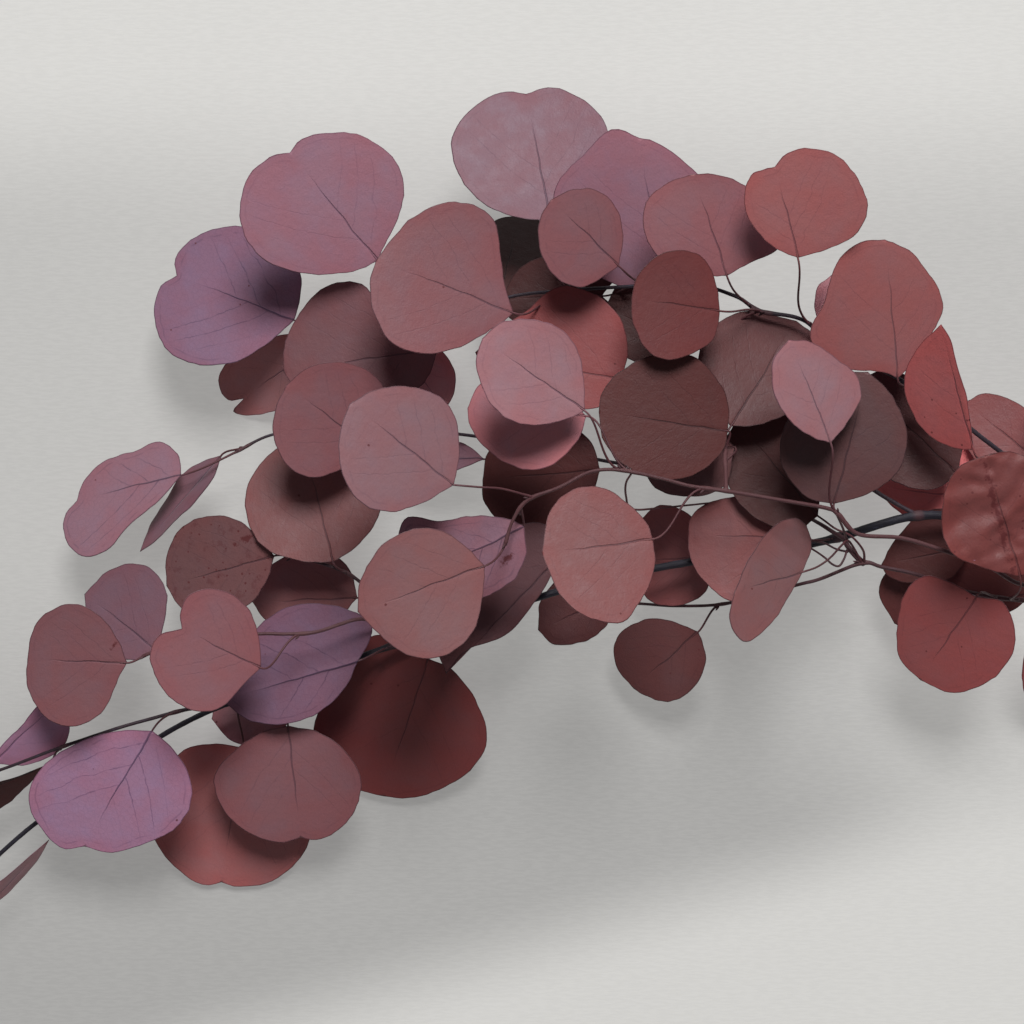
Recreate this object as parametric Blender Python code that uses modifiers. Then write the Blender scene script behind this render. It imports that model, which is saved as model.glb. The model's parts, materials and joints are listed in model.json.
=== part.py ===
"""A preserved, dyed eucalyptus branch with round leaves, lying on a table.

The woody main stem carries leafy twigs, and each twig is one object: its stem, its leaf stalks
and its leaf blades grown together. Metres, +Z up, the table at Z = 0. -X is the branch's tip and
+X its cut end. The leaves are placed as the photograph of the branch, taken from straight above,
shows them: a place is a photograph column and row, with its height above the table in millimetres.
"""

import math
from collections import namedtuple
from random import Random

import bmesh
import bpy
from mathutils import Matrix, Vector
from mathutils.geometry import interpolate_bezier, intersect_point_line

MM = 0.001

# The photograph's scale, where its camera stood, and the place that is the part's origin.
PHOTO_MIDDLE = 512
MM_PER_PIXEL = 0.4
SCALE_HEIGHT = 60.0
CAMERA_HEIGHT = 1060.0
ORIGIN_COLUMN = 666
ORIGIN_ROW = 554

# Leaf blades.
BLADE_THICKNESS = 0.8 * MM
EDGE_STEPS = 8
INNER_RING = 0.55
SMOOTH_STEPS = 6

# Leaf stalks.
STALK_ROOT_RADIUS = 0.7 * MM
STALK_TIP_RADIUS = 0.5 * MM
STALK_SINK = 6.0 * MM
STALK_LIFT = 0.3 * MM
STALK_STEPS = 5
STALK_SETBACK = 5.0 * MM

# Stems.
STEM_STEP = 15.0 * MM
JOINT_GAP = 0.3 * MM
CAP_WELD = 0.01 * MM

LEAF_COLOUR = (0.27, 0.10, 0.105, 1.0)
WOOD_COLOUR = (0.035, 0.022, 0.024, 1.0)

Place = namedtuple("Place", "column row height")
Leaf = namedtuple("Leaf", "base tip edges roll cup bend")
Twig = namedtuple("Twig", "name parent root_radius tip_radius route leaves")


def leaf(base, tip, one_edge, other_edge, roll=0.0, cup=0.05, bend=0.04):
    """A leaf from its blade's base to its tip, which is the bottom of the nick if the tip has one.

    The edges are the photograph's columns and rows that the blade's two edges pass through, both
    from base to tip. roll is the blade's turn about its midrib in degrees, cup how far its sides
    rise and bend how far its tip drops, as shares of its size.
    """
    return Leaf(Place(*base), Place(*tip), (one_edge, other_edge), roll, cup, bend)


MAIN_STEM = Twig(
    "main_stem",
    None,
    2.3 * MM,
    0.8 * MM,
    [
        (1492, 640, 2.0), (1400, 622, 4.5), (1300, 600, 12), (1200, 574, 24), (1110, 550, 34),
        (1024, 528, 42), (965, 518, 46), (909, 517, 48), (815, 543, 48), (690, 562, 44),
        (600, 580, 41), (540, 597, 39), (450, 627, 37), (371, 653, 36), (290, 685, 33),
        (219, 707, 30), (158, 738, 27), (95, 783, 24), (40, 820, 22), (2, 852, 21),
        (-28, 882, 19), (-62, 906, 17), (-90, 922, 14),
    ],
    [
        leaf(
            (358, 661, 46), (221, 700, 44),
            [(369, 642), (372, 624), (350, 610), (318, 603), (285, 608), (255, 630), (232, 662)],
            [(345, 688), (318, 713), (285, 724), (248, 720)],
        ),
        leaf(
            (428, 659, 29), (383, 797, 7),
            [(402, 636), (360, 643), (328, 690), (312, 738), (330, 773), (358, 791)],
            [(452, 670), (475, 700), (487, 738), (474, 768), (445, 788), (412, 799)],
            cup=-0.05,
        ),
        leaf(
            (288, 726, 36), (301, 838, 27),
            [(262, 732), (232, 752), (214, 778), (226, 812), (252, 834), (280, 843)],
            [(318, 732), (345, 750), (361, 778), (354, 813), (334, 834), (315, 841)],
        ),
        leaf(
            (243, 748, 22), (221, 883, 5),
            [(215, 744), (183, 751), (162, 780), (150, 815), (160, 850), (188, 878), (206, 886)],
            [(275, 755), (300, 785), (312, 825), (300, 860), (270, 884), (238, 888)],
            cup=-0.04,
        ),
        leaf(
            (290, 702, 24), (211, 719, 18),
            [(270, 690), (240, 688), (220, 697)],
            [(285, 728), (262, 745), (231, 741)],
        ),
        leaf(
            (562, 554, 47), (446, 674, 47),
            [(545, 524), (505, 530), (458, 562), (430, 620)],
            [(549, 580), (535, 602), (506, 635), (467, 650)],
        ),
        leaf(
            (712, 558, 34), (634, 560, 20),
            [(692, 517), (660, 505), (638, 525)],
            [(705, 592), (676, 606), (645, 598)],
            cup=-0.05,
        ),
        leaf(
            (812, 540, 56), (688, 533, 53),
            [(795, 506), (748, 496), (707, 503), (691, 518)],
            [(790, 580), (760, 601), (728, 600), (702, 579), (690, 556)],
        ),
        leaf(
            (985, 500, 38), (870, 485, 25),
            [(974, 452), (932, 440), (893, 458)],
            [(965, 530), (928, 532), (894, 508)],
        ),
        leaf(
            (972, 546, 38), (881, 565, 30),
            [(955, 512), (925, 512), (896, 538)],
            [(952, 578), (915, 583), (890, 578)],
        ),
        leaf(
            (-34, 928, 24), (50, 841, 27),
            [(-22, 902), (0, 882), (25, 861)],
            [(-12, 909), (17, 884), (37, 862)],
            roll=60, cup=0.0,
        ),
        leaf(
            (-74, 905, 20), (-142, 842, 34),
            [(-115, 915), (-148, 890)],
            [(-68, 868), (-100, 838)],
            roll=20,
        ),
        leaf(
            (-95, 932, 13), (-178, 985, 1.2),
            [(-120, 925), (-155, 930), (-178, 955)],
            [(-100, 962), (-122, 990), (-155, 998)],
            cup=-0.04,
        ),
        leaf(
            (1252, 560, 28), (1292, 466, 46),
            [(1232, 532), (1228, 492), (1256, 466)],
            [(1286, 554), (1318, 522), (1322, 482)],
            roll=-15,
        ),
        leaf(
            (1240, 612, 14), (1212, 708, 0.7),
            [(1212, 620), (1186, 655), (1185, 692)],
            [(1270, 632), (1276, 675), (1246, 706)],
            cup=-0.05,
        ),
    ],
)

UPPER_TWIG = Twig(
    "upper_twig",
    "main_stem",
    1.3 * MM,
    0.7 * MM,
    [
        (1190, 572, 26), (1110, 520, 44), (1024, 468, 56), (985, 440, 60), (940, 405, 63),
        (880, 368, 66), (840, 350, 67), (803, 320, 68), (760, 311, 68), (735, 296, 67),
        (690, 284, 65), (620, 287, 61), (560, 291, 57), (510, 297, 53), (450, 318, 48),
        (400, 338, 43), (350, 352, 38), (322, 350, 35),
    ],
    [
        leaf(
            (378, 261, 64), (290, 153, 86),
            [(384, 246), (399, 215), (404, 183), (390, 154), (355, 134), (318, 135), (300, 141)],
            [(350, 272), (305, 273), (262, 257), (240, 222), (246, 180), (270, 157)],
            roll=-8,
        ),
        leaf(
            (294, 320, 42), (176, 275, 26),
            [(300, 300), (301, 275), (285, 245), (255, 229), (222, 228), (193, 238), (175, 257)],
            [(272, 340), (238, 362), (200, 366), (168, 351), (154, 318), (158, 288)],
            roll=8,
        ),
        leaf(
            (308, 352, 22), (243, 399, 4.7),
            [(298, 334), (264, 340), (231, 358), (217, 380), (226, 400)],
            [(304, 385), (280, 408), (250, 416), (232, 412)],
            cup=-0.03,
        ),
        leaf(
            (438, 348, 54), (283, 372, 49),
            [(418, 337), (388, 316), (362, 284), (325, 287), (300, 312), (284, 343)],
            [(425, 382), (388, 402), (345, 410), (305, 400)],
        ),
        leaf(
            (514, 313, 76), (377, 260, 92),
            [(506, 290), (500, 255), (493, 222), (470, 205), (440, 204), (408, 221), (388, 245)],
            [(495, 327), (462, 346), (425, 354), (392, 344), (374, 312), (371, 282)],
            roll=5,
        ),
        leaf(
            (402, 345, 36), (443, 412, 38),
            [(380, 360), (383, 392), (408, 413)],
            [(430, 343), (450, 360), (456, 388)],
        ),
        leaf(
            (551, 221, 58), (526, 93, 48),
            [(515, 217), (480, 202), (457, 172), (452, 138), (472, 107), (502, 91)],
            [(585, 200), (606, 165), (607, 130), (588, 104), (554, 87)],
        ),
        leaf(
            (660, 274, 59), (640, 139, 82),
            [(640, 287), (606, 281), (572, 250), (555, 214), (556, 183), (582, 155), (612, 130)],
            [(690, 255), (708, 220), (705, 184), (680, 158), (656, 143)],
        ),
        leaf(
            (619, 266, 82), (551, 200, 97),
            [(623, 238), (616, 207), (596, 190), (570, 190)],
            [(605, 276), (580, 287), (554, 276), (539, 248), (540, 219)],
        ),
        leaf(
            (727, 276, 84), (693, 174, 97),
            [(705, 275), (670, 268), (646, 238), (645, 205), (666, 184)],
            [(752, 262), (778, 247), (775, 215), (752, 190), (724, 176)],
        ),
        leaf(
            (798, 258, 98), (775, 167, 112),
            [(772, 246), (750, 222), (744, 195), (753, 174)],
            [(828, 249), (856, 233), (867, 207), (858, 180), (838, 156), (806, 148), (785, 156)],
        ),
        leaf(
            (497, 306, 36), (520, 213, 3.0),
            [(480, 285), (478, 250), (494, 221)],
            [(525, 290), (560, 262), (565, 232), (548, 215)],
        ),
        leaf(
            (602, 296, 46), (500, 298, 42),
            [(615, 270), (560, 256), (522, 266)],
            [(622, 318), (565, 326), (514, 321)],
        ),
        leaf(
            (720, 311, 90), (632, 298, 100),
            [(716, 283), (702, 257), (675, 250), (648, 262), (635, 282)],
            [(718, 325), (711, 342), (690, 354), (664, 360), (644, 347), (633, 320)],
        ),
        leaf(
            (862, 345, 58), (835, 272, 54),
            [(838, 340), (817, 320), (816, 290)],
            [(880, 315), (862, 280)],
        ),
        leaf(
            (898, 379, 73), (886, 240, 90),
            [(884, 372), (856, 371), (830, 363), (813, 338), (826, 302), (837, 266), (858, 244)],
            [(912, 363), (932, 335), (945, 308), (936, 282), (912, 252)],
            roll=14, cup=-0.12,
        ),
        leaf(
            (973, 450, 82), (940, 325, 95),
            [(950, 447), (925, 430), (909, 400), (906, 372), (920, 345)],
            [(971, 425), (965, 390), (956, 362), (950, 340)],
            roll=-42,
        ),
        leaf(
            (1052, 472, 46), (964, 402, 38),
            [(1055, 430), (1025, 408), (990, 393)],
            [(1025, 482), (985, 472), (962, 435)],
        ),
        leaf(
            (958, 474, 52), (858, 380, 46),
            [(962, 430), (935, 392), (890, 370)],
            [(930, 490), (888, 478), (856, 436)],
        ),
        leaf(
            (695, 345, 54), (605, 308, 52),
            [(690, 312), (660, 286), (620, 284)],
            [(675, 362), (640, 364), (612, 345)],
        ),
        leaf(
            (1072, 466, 62), (1098, 362, 80),
            [(1045, 440), (1038, 400), (1062, 366)],
            [(1105, 458), (1135, 425), (1130, 380)],
            roll=-15,
        ),
    ],
)

BACK_TWIG = Twig(
    "back_twig",
    "main_stem",
    1.1 * MM,
    0.7 * MM,
    [
        (918, 516, 48), (888, 499, 46), (850, 478, 42), (800, 470, 39), (750, 471, 37),
        (700, 472, 35), (650, 468, 33), (600, 460, 31), (545, 448, 29), (500, 440, 28),
        (458, 434, 28), (400, 428, 29), (340, 428, 30), (275, 434, 32), (236, 452, 33),
    ],
    [
        leaf(
            (374, 452, 58), (287, 385, 72),
            [(387, 420), (384, 388), (365, 369), (335, 361), (306, 369)],
            [(350, 464), (318, 477), (290, 468), (274, 440), (276, 408)],
        ),
        leaf(
            (181, 475, 34), (76, 500, 24),
            [(178, 455), (160, 442), (135, 452), (105, 462), (84, 481)],
            [(160, 500), (128, 527), (108, 550), (82, 556), (64, 538), (63, 515)],
            roll=30,
        ),
        leaf(
            (221, 455, 28), (139, 551, 26),
            [(204, 461), (183, 475), (165, 500), (151, 522)],
            [(213, 478), (196, 499), (176, 521), (156, 540)],
            roll=45, cup=0.0,
        ),
        leaf(
            (600, 470, 46), (482, 480, 36),
            [(590, 440), (555, 420), (510, 430), (488, 452)],
            [(586, 508), (548, 532), (506, 525), (484, 503)],
            cup=-0.05,
        ),
        leaf(
            (484, 459, 27), (400, 457, 20),
            [(470, 447), (450, 441), (418, 440)],
            [(470, 465), (450, 472), (418, 474)],
            roll=40,
        ),
    ],
)

FRONT_TWIG = Twig(
    "front_twig",
    "main_stem",
    1.2 * MM,
    0.8 * MM,
    [
        (1135, 557, 31), (1080, 586, 54), (1024, 585, 66), (989, 567, 72), (942, 550, 76),
        (901, 538, 79), (858, 534, 82), (838, 514, 84), (826, 508, 85), (780, 500, 89),
        (726, 491, 92), (690, 486, 94), (660, 478, 95), (620, 470, 96), (590, 472, 96),
        (560, 487, 96), (528, 500, 95), (513, 520, 94), (505, 545, 93),
    ],
    [
        leaf(
            (485, 566, 100), (358, 612, 112),
            [(466, 546), (440, 530), (408, 530), (378, 549), (360, 582)],
            [(482, 600), (472, 632), (445, 655), (410, 656), (380, 635)],
            roll=-8,
        ),
        leaf(
            (454, 485, 104), (350, 404, 118),
            [(459, 455), (457, 425), (445, 401), (414, 387), (378, 389)],
            [(430, 499), (395, 511), (362, 504), (342, 475), (339, 437)],
            roll=6,
        ),
        leaf(
            (524, 526, 88), (420, 578, 74),
            [(505, 518), (470, 516), (440, 521), (405, 518), (399, 545)],
            [(526, 552), (515, 578), (485, 597), (450, 600)],
            cup=-0.06,
        ),
        leaf(
            (585, 411, 106), (483, 339, 122),
            [(584, 385), (578, 352), (560, 328), (530, 319), (502, 323)],
            [(560, 421), (530, 425), (502, 415), (484, 392), (476, 362)],
            roll=-6,
        ),
        leaf(
            (653, 539, 104), (542, 553, 112),
            [(646, 522), (628, 503), (600, 487), (570, 491), (549, 514)],
            [(655, 562), (645, 593), (622, 622), (590, 619), (560, 596)],
            roll=8,
        ),
        leaf(
            (586, 416, 92), (467, 408, 78),
            [(560, 390), (520, 375), (482, 382)],
            [(578, 440), (556, 463), (526, 470), (492, 454), (470, 428)],
        ),
        leaf(
            (831, 443, 100), (790, 340, 116),
            [(812, 437), (788, 420), (773, 392), (774, 360)],
            [(846, 424), (860, 398), (855, 374), (836, 359), (813, 343)],
            roll=22,
        ),
        leaf(
            (834, 504, 80), (868, 372, 88),
            [(808, 498), (785, 472), (780, 440), (800, 400), (835, 375)],
            [(868, 494), (896, 474), (907, 445), (903, 418), (888, 390)],
        ),
    ],
)

INNER_TWIG = Twig(
    "inner_twig",
    "front_twig",
    1.0 * MM,
    0.7 * MM,
    [(726, 491, 92), (725, 462, 84), (722, 438, 77), (695, 420, 71), (660, 402, 67), (640, 390, 66)],
    [
        leaf(
            (728, 431, 84), (599, 412, 90),
            [(728, 402), (716, 378), (692, 356), (655, 355), (620, 371), (602, 393)],
            [(722, 452), (698, 473), (660, 480), (625, 466), (603, 440)],
        ),
        leaf(
            (731, 426, 75), (797, 320, 60),
            [(708, 398), (697, 362), (709, 332), (746, 311)],
            [(762, 424), (800, 406), (822, 372), (818, 338)],
        ),
        leaf(
            (735, 447, 64), (640, 462, 56),
            [(715, 430), (680, 425), (650, 438)],
            [(725, 485), (690, 497), (655, 488)],
        ),
        leaf(
            (622, 379, 67), (475, 352, 64),
            [(628, 350), (620, 318), (598, 296), (568, 286), (546, 293), (528, 310), (502, 328)],
            [(617, 396), (592, 409), (540, 404), (490, 385)],
        ),
    ],
)

LOWER_TWIG = Twig(
    "lower_twig",
    "main_stem",
    1.2 * MM,
    0.7 * MM,
    [
        (1112, 551, 34), (1060, 590, 42), (1024, 600, 46), (958, 590, 50), (919, 575, 53),
        (882, 567, 55), (862, 563, 55), (820, 579, 51), (797, 585, 48), (729, 603, 36),
        (680, 606, 24), (645, 604, 12), (632, 603, 6),
    ],
    [
        leaf(
            (818, 516, 61), (736, 420, 58),
            [(820, 478), (810, 440), (782, 413)],
            [(795, 531), (762, 522), (735, 498), (720, 455)],
        ),
        leaf(
            (803, 572, 66), (736, 592, 92),
            [(812, 545), (800, 520), (775, 524), (752, 553)],
            [(790, 595), (770, 623), (745, 642), (731, 622)],
        ),
        leaf(
            (698, 632, 30), (633, 689, 14),
            [(680, 624), (655, 618), (630, 625), (616, 642), (617, 668)],
            [(705, 650), (704, 670), (692, 690), (670, 702), (648, 698)],
            roll=8,
        ),
        leaf(
            (612, 598, 0.4), (538, 630, 0.4),
            [(600, 580), (565, 575), (541, 600)],
            [(607, 625), (585, 641), (555, 645)],
            cup=0.0, bend=0.0,
        ),
        leaf(
            (1020, 577, 80), (985, 455, 88),
            [(985, 568), (950, 552), (941, 520), (946, 485), (962, 464)],
            [(1048, 560), (1057, 520), (1045, 475), (1015, 452)],
            cup=0.08,
        ),
        leaf(
            (976, 597, 61), (920, 681, 38),
            [(950, 582), (925, 575), (905, 592), (897, 630), (900, 660)],
            [(1004, 603), (1016, 635), (1008, 662), (985, 683), (952, 693)],
            roll=6,
        ),
        leaf(
            (1034, 592, 37), (894, 624, 20),
            [(1010, 560), (950, 554), (900, 562), (878, 590)],
            [(1010, 612), (970, 622), (924, 636)],
        ),
        leaf(
            (1055, 612, 40), (1050, 712, 18),
            [(1030, 635), (1022, 680), (1032, 706)],
            [(1085, 625), (1100, 665), (1080, 705)],
        ),
    ],
)

SIDE_TWIG = Twig(
    "side_twig",
    "main_stem",
    1.1 * MM,
    0.7 * MM,
    [(485, 614, 38), (440, 606, 43), (400, 598, 46), (370, 588, 48), (345, 572, 47), (310, 560, 46), (290, 556, 45)],
    [
        leaf(
            (333, 562, 50), (303, 440, 34),
            [(300, 561), (262, 546), (245, 508), (252, 475), (275, 448)],
            [(358, 546), (379, 517), (382, 485), (360, 452), (330, 438)],
        ),
        leaf(
            (274, 556, 44), (166, 586, 30),
            [(258, 536), (236, 519), (207, 516), (180, 529), (166, 557)],
            [(266, 582), (248, 606), (215, 618), (184, 611)],
        ),
        leaf(
            (357, 598, 30), (251, 602, 14),
            [(352, 574), (338, 558), (300, 552), (266, 570)],
            [(340, 615), (300, 628), (268, 622)],
        ),
    ],
)

LEFT_TWIG = Twig(
    "left_twig",
    "main_stem",
    1.0 * MM,
    0.7 * MM,
    [
        (404, 642, 36), (385, 628, 48), (360, 619, 58), (316, 632, 63), (285, 634, 65),
        (258, 634, 66), (205, 640, 66), (160, 650, 64), (143, 656, 63),
    ],
    [
        leaf(
            (261, 668, 74), (182, 629, 90),
            [(260, 645), (252, 615), (235, 596), (212, 588), (190, 594), (181, 612)],
            [(246, 682), (222, 706), (196, 711), (168, 696), (151, 663), (158, 637)],
        ),
        leaf(
            (127, 663, 66), (27, 660, 66),
            [(118, 640), (100, 615), (72, 603), (45, 614), (31, 635)],
            [(117, 682), (104, 710), (75, 726), (45, 716), (27, 688)],
            roll=-10,
        ),
        leaf(
            (157, 650, 57), (84, 594, 42),
            [(166, 615), (167, 590), (153, 570), (130, 564), (105, 574)],
            [(138, 660), (110, 656), (88, 632)],
        ),
    ],
)

TIP_TWIG = Twig(
    "tip_twig",
    "main_stem",
    1.0 * MM,
    0.7 * MM,
    [
        (278, 688, 33), (240, 698, 35), (205, 707, 38), (184, 710, 42), (150, 719, 45), (115, 729, 46),
        (56, 749, 44), (0, 770, 39), (-50, 785, 34), (-76, 792, 32),
    ],
    [
        leaf(
            (152, 731, 52), (84, 847, 34),
            [(118, 731), (80, 741), (45, 764), (30, 794), (38, 823), (60, 848)],
            [(172, 748), (188, 772), (192, 800), (178, 826), (148, 843), (112, 853)],
        ),
        leaf(
            (-8, 764, 34), (64, 695, 48),
            [(2, 745), (20, 727), (42, 702)],
            [(28, 764), (60, 749), (70, 724)],
            roll=25,
        ),
        leaf(
            (46, 766, 34), (-55, 806, 25),
            [(18, 777), (-10, 784), (-40, 793)],
            [(25, 788), (-2, 808), (-38, 815)],
            roll=-35,
        ),
        leaf(
            (-90, 798, 32), (-170, 850, 52),
            [(-122, 790), (-155, 800), (-178, 828)],
            [(-92, 832), (-112, 862), (-145, 868)],
            roll=12,
        ),
        leaf(
            (-92, 786, 32), (-176, 735, 18),
            [(-95, 752), (-118, 722), (-152, 715)],
            [(-122, 795), (-155, 788), (-178, 765)],
            roll=-12,
        ),
    ],
)

TWIGS = [
    MAIN_STEM, UPPER_TWIG, BACK_TWIG, FRONT_TWIG, INNER_TWIG, LOWER_TWIG, SIDE_TWIG, LEFT_TWIG, TIP_TWIG,
]


def from_photo(place):
    """The point that the photograph shows at this column and row, at this height."""
    column, row, height = place
    nearer = (CAMERA_HEIGHT - height) / (CAMERA_HEIGHT - SCALE_HEIGHT)
    x = (column - PHOTO_MIDDLE) * nearer - (ORIGIN_COLUMN - PHOTO_MIDDLE)
    y = (PHOTO_MIDDLE - row) * nearer - (PHOTO_MIDDLE - ORIGIN_ROW)
    return Vector((x * MM_PER_PIXEL * MM, y * MM_PER_PIXEL * MM, height * MM))


def smooth_line(points, steps_of):
    """A smooth line through the points; steps_of gives the number of steps of each span."""
    before = [2 * points[0] - points[1], *points]
    after = [*points, 2 * points[-1] - points[-2]]
    line = [points[0]]
    for index in range(len(points) - 1):
        start, end = points[index], points[index + 1]
        leaving = (after[index + 1] - before[index]) / 6
        arriving = (after[index + 2] - before[index + 1]) / 6
        steps = steps_of((end - start).length)
        line += interpolate_bezier(start, start + leaving, end - arriving, end, steps + 1)[1:]
    return [Vector(point) for point in line]


def lengths_along(line):
    """How far along the line each of its points is."""
    lengths = [0.0]
    for start, end in zip(line, line[1:]):
        lengths.append(lengths[-1] + (end - start).length)
    return lengths


def point_along(line, distance):
    """The point of the line at this distance from its start."""
    lengths = lengths_along(line)
    index = 1
    while index < len(line) - 1 and lengths[index] < distance:
        index += 1
    share = (distance - lengths[index - 1]) / (lengths[index] - lengths[index - 1])
    return line[index - 1].lerp(line[index], min(max(share, 0.0), 1.0))


def evenly_along(line, count):
    """The points that split the line into count pieces of one length."""
    whole = lengths_along(line)[-1]
    return [point_along(line, whole * step / count) for step in range(count + 1)]


def nearest_distance(line, point):
    """How far along the line its nearest place to the point is."""
    lengths = lengths_along(line)
    found = []
    for index in range(len(line) - 1):
        spot, share = intersect_point_line(point, line[index], line[index + 1])
        share = min(max(share, 0.0), 1.0)
        gap = (line[index].lerp(line[index + 1], share) - point).length
        found.append((gap, lengths[index] + share * (lengths[index + 1] - lengths[index])))
    return min(found)[1]


def tapered_radii(line, root_radius, tip_radius):
    """The stem's radius at each point of its line."""
    lengths = lengths_along(line)
    return [root_radius + (tip_radius - root_radius) * length / lengths[-1] for length in lengths]


def tube(name, line, radii, bevel_resolution, collection):
    """A closed round tube along the line, as a mesh object."""
    curve = bpy.data.curves.new(name + "_curve", "CURVE")
    curve.dimensions = "3D"
    curve.bevel_depth = 1.0
    curve.bevel_resolution = bevel_resolution
    curve.use_fill_caps = True
    spline = curve.splines.new("POLY")
    spline.points.add(len(line) - 1)
    for point, place, radius in zip(spline.points, line, radii):
        point.co = (*place, 1.0)
        point.radius = radius
    guide = bpy.data.objects.new(name + "_curve", curve)
    collection.objects.link(guide)
    graph = bpy.context.evaluated_depsgraph_get()
    mesh = bpy.data.meshes.new_from_object(guide.evaluated_get(graph))
    mesh.name = name
    shape = bmesh.new()
    shape.from_mesh(mesh)
    bmesh.ops.remove_doubles(shape, verts=shape.verts, dist=CAP_WELD)
    shape.to_mesh(mesh)
    shape.free()
    made = bpy.data.objects.new(name, mesh)
    collection.objects.link(made)
    bpy.data.objects.remove(guide)
    bpy.data.curves.remove(curve)
    return made


def leaf_frame(one):
    """The leaf's own axes in the world: X from base to tip, Y across, Z out of its face."""
    base, tip = from_photo(one.base), from_photo(one.tip)
    along = (tip - base).normalized()
    up = Vector((0, 0, 1))
    normal = (up - along * up.dot(along)).normalized()
    normal = Matrix.Rotation(math.radians(one.roll), 3, along) @ normal
    across = normal.cross(along)
    axes = Matrix((along, across, normal)).transposed().to_4x4()
    return Matrix.Translation(base) @ axes


def on_blade(one, frame, spot):
    """The point of the leaf's own plane that the photograph shows at this column and row."""
    low = from_photo((*spot, 0))
    sight = from_photo((*spot, 1)) - low
    normal = frame.to_3x3().col[2]
    height = (frame.translation - low).dot(normal) / sight.dot(normal)
    flat = frame.inverted() @ (low + sight * height)
    return Vector((flat.x, flat.y, 0))


def blade_rim(one, frame, steps):
    """The blade's edge in its own plane, from the base round by the tip, in 2 * steps points."""
    length = (from_photo(one.tip) - from_photo(one.base)).length
    sides = []
    for edge in one.edges:
        spots = [on_blade(one, frame, spot) for spot in edge]
        line = smooth_line([Vector((0, 0, 0)), *spots, Vector((length, 0, 0))], lambda span: SMOOTH_STEPS)
        sides.append(evenly_along(line, steps))
    return sides[0][:-1] + sides[1][:0:-1]


def leaf_character(twig, index):
    """What makes one leaf's surface differ from the next: its waves and its twist."""
    draw = Random(f"{twig.name} {index}")
    return {
        "phase": draw.uniform(0, 2 * math.pi),
        "twist": draw.uniform(-0.05, 0.05),
        "wave": draw.uniform(0.004, 0.012),
    }


def blade_height(one, character, x, y, length, breadth, share):
    """How far the blade's surface stands off its own plane at this point."""
    if one.cup == 0 and one.bend == 0:
        return 0.0
    along = x / length
    rise = one.cup * breadth * (y / breadth) ** 2
    drop = one.bend * length * (along - 0.35) ** 2
    angle = math.atan2(y, x - length / 2)
    from_base = min(max(2 * along, 0.0), 1.0)
    ripple = character["wave"] * length * share**3 * from_base * math.sin(2 * angle + character["phase"])
    turn = character["twist"] * y * along
    return rise - drop + ripple + turn


def blade_spot(one, character, rim, middle, length, breadth, share, index):
    """A point of the blade's surface: share 0 is its middle and 1 its edge at that rim point."""
    flat = middle.lerp(rim[index % len(rim)], share)
    height = blade_height(one, character, flat.x, flat.y, length, breadth, share)
    return Vector((flat.x, flat.y, height))


def blade(one, name, character, collection):
    """The leaf's blade: a disc with one inner ring, shaped to the blade's edge and made solid."""
    frame = leaf_frame(one)
    rim = blade_rim(one, frame, EDGE_STEPS)
    length = (from_photo(one.tip) - from_photo(one.base)).length
    breadth = max(abs(spot.y) for spot in rim)
    middle = sum(rim, Vector()) / len(rim)
    shape = bmesh.new()
    rings = []
    for share in (INNER_RING, 1.0):
        spots = [
            blade_spot(one, character, rim, middle, length, breadth, share, index)
            for index in range(len(rim))
        ]
        rings.append([shape.verts.new(frame @ spot) for spot in spots])
    centre = shape.verts.new(frame @ blade_spot(one, character, rim, middle, length, breadth, 0.0, 0))
    inner, outer = rings
    for index in range(len(rim)):
        following = (index + 1) % len(rim)
        shape.faces.new((centre, inner[index], inner[following]))
        shape.faces.new((inner[index], outer[index], outer[following]))
        shape.faces.new((inner[index], outer[following], inner[following]))
    mesh = bpy.data.meshes.new(name)
    shape.to_mesh(mesh)
    shape.free()
    made = bpy.data.objects.new(name, mesh)
    collection.objects.link(made)
    skin = made.modifiers.new("thickness", "SOLIDIFY")
    skin.thickness = BLADE_THICKNESS
    skin.offset = 0.0
    return made


def stalk_line(one, stem_line):
    """The leaf stalk's line, from inside the twig's stem to a little way up the midrib."""
    frame = leaf_frame(one)
    along, across, normal = frame.to_3x3().col
    base = frame.translation + normal * STALK_LIFT
    distance = max(nearest_distance(stem_line, base) - STALK_SETBACK, 2 * STALK_SETBACK)
    root = point_along(stem_line, distance)
    forward = (point_along(stem_line, distance + STALK_SETBACK) - root).normalized()
    reach = (base - root).length
    leaving = root + forward * reach * 0.35
    arriving = base - along * reach * 0.3
    line = [Vector(point) for point in interpolate_bezier(root, leaving, arriving, base, STALK_STEPS)]
    return [*line, base + along * STALK_SINK]


def apply_modifiers(made):
    """Replaces the object's mesh with what its modifiers make, and clears them."""
    graph = bpy.context.evaluated_depsgraph_get()
    mesh = bpy.data.meshes.new_from_object(made.evaluated_get(graph))
    made.modifiers.clear()
    made.data = mesh


def join_leaves(stem, repeats):
    """Grows the stalks and blades in the collection together with the stem, then removes them."""
    union = stem.modifiers.new("leaves", "BOOLEAN")
    union.operation = "UNION"
    union.operand_type = "COLLECTION"
    union.collection = repeats
    union.solver = "EXACT"
    apply_modifiers(stem)
    for item in list(repeats.objects):
        bpy.data.objects.remove(item)


def cut_joint(stem, parent_line, parent_radii, cutters):
    """Cuts the twig's root to the stem that it grows from, with a narrow gap between them."""
    wider = [radius + JOINT_GAP for radius in parent_radii]
    cutter = tube(stem.name + "_joint", parent_line, wider, 1, cutters)
    cutter.hide_render = True
    cutter.display_type = "WIRE"
    cut = stem.modifiers.new("joint", "BOOLEAN")
    cut.operation = "DIFFERENCE"
    cut.object = cutter
    cut.solver = "EXACT"
    apply_modifiers(stem)
    bpy.data.objects.remove(cutter)


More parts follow.
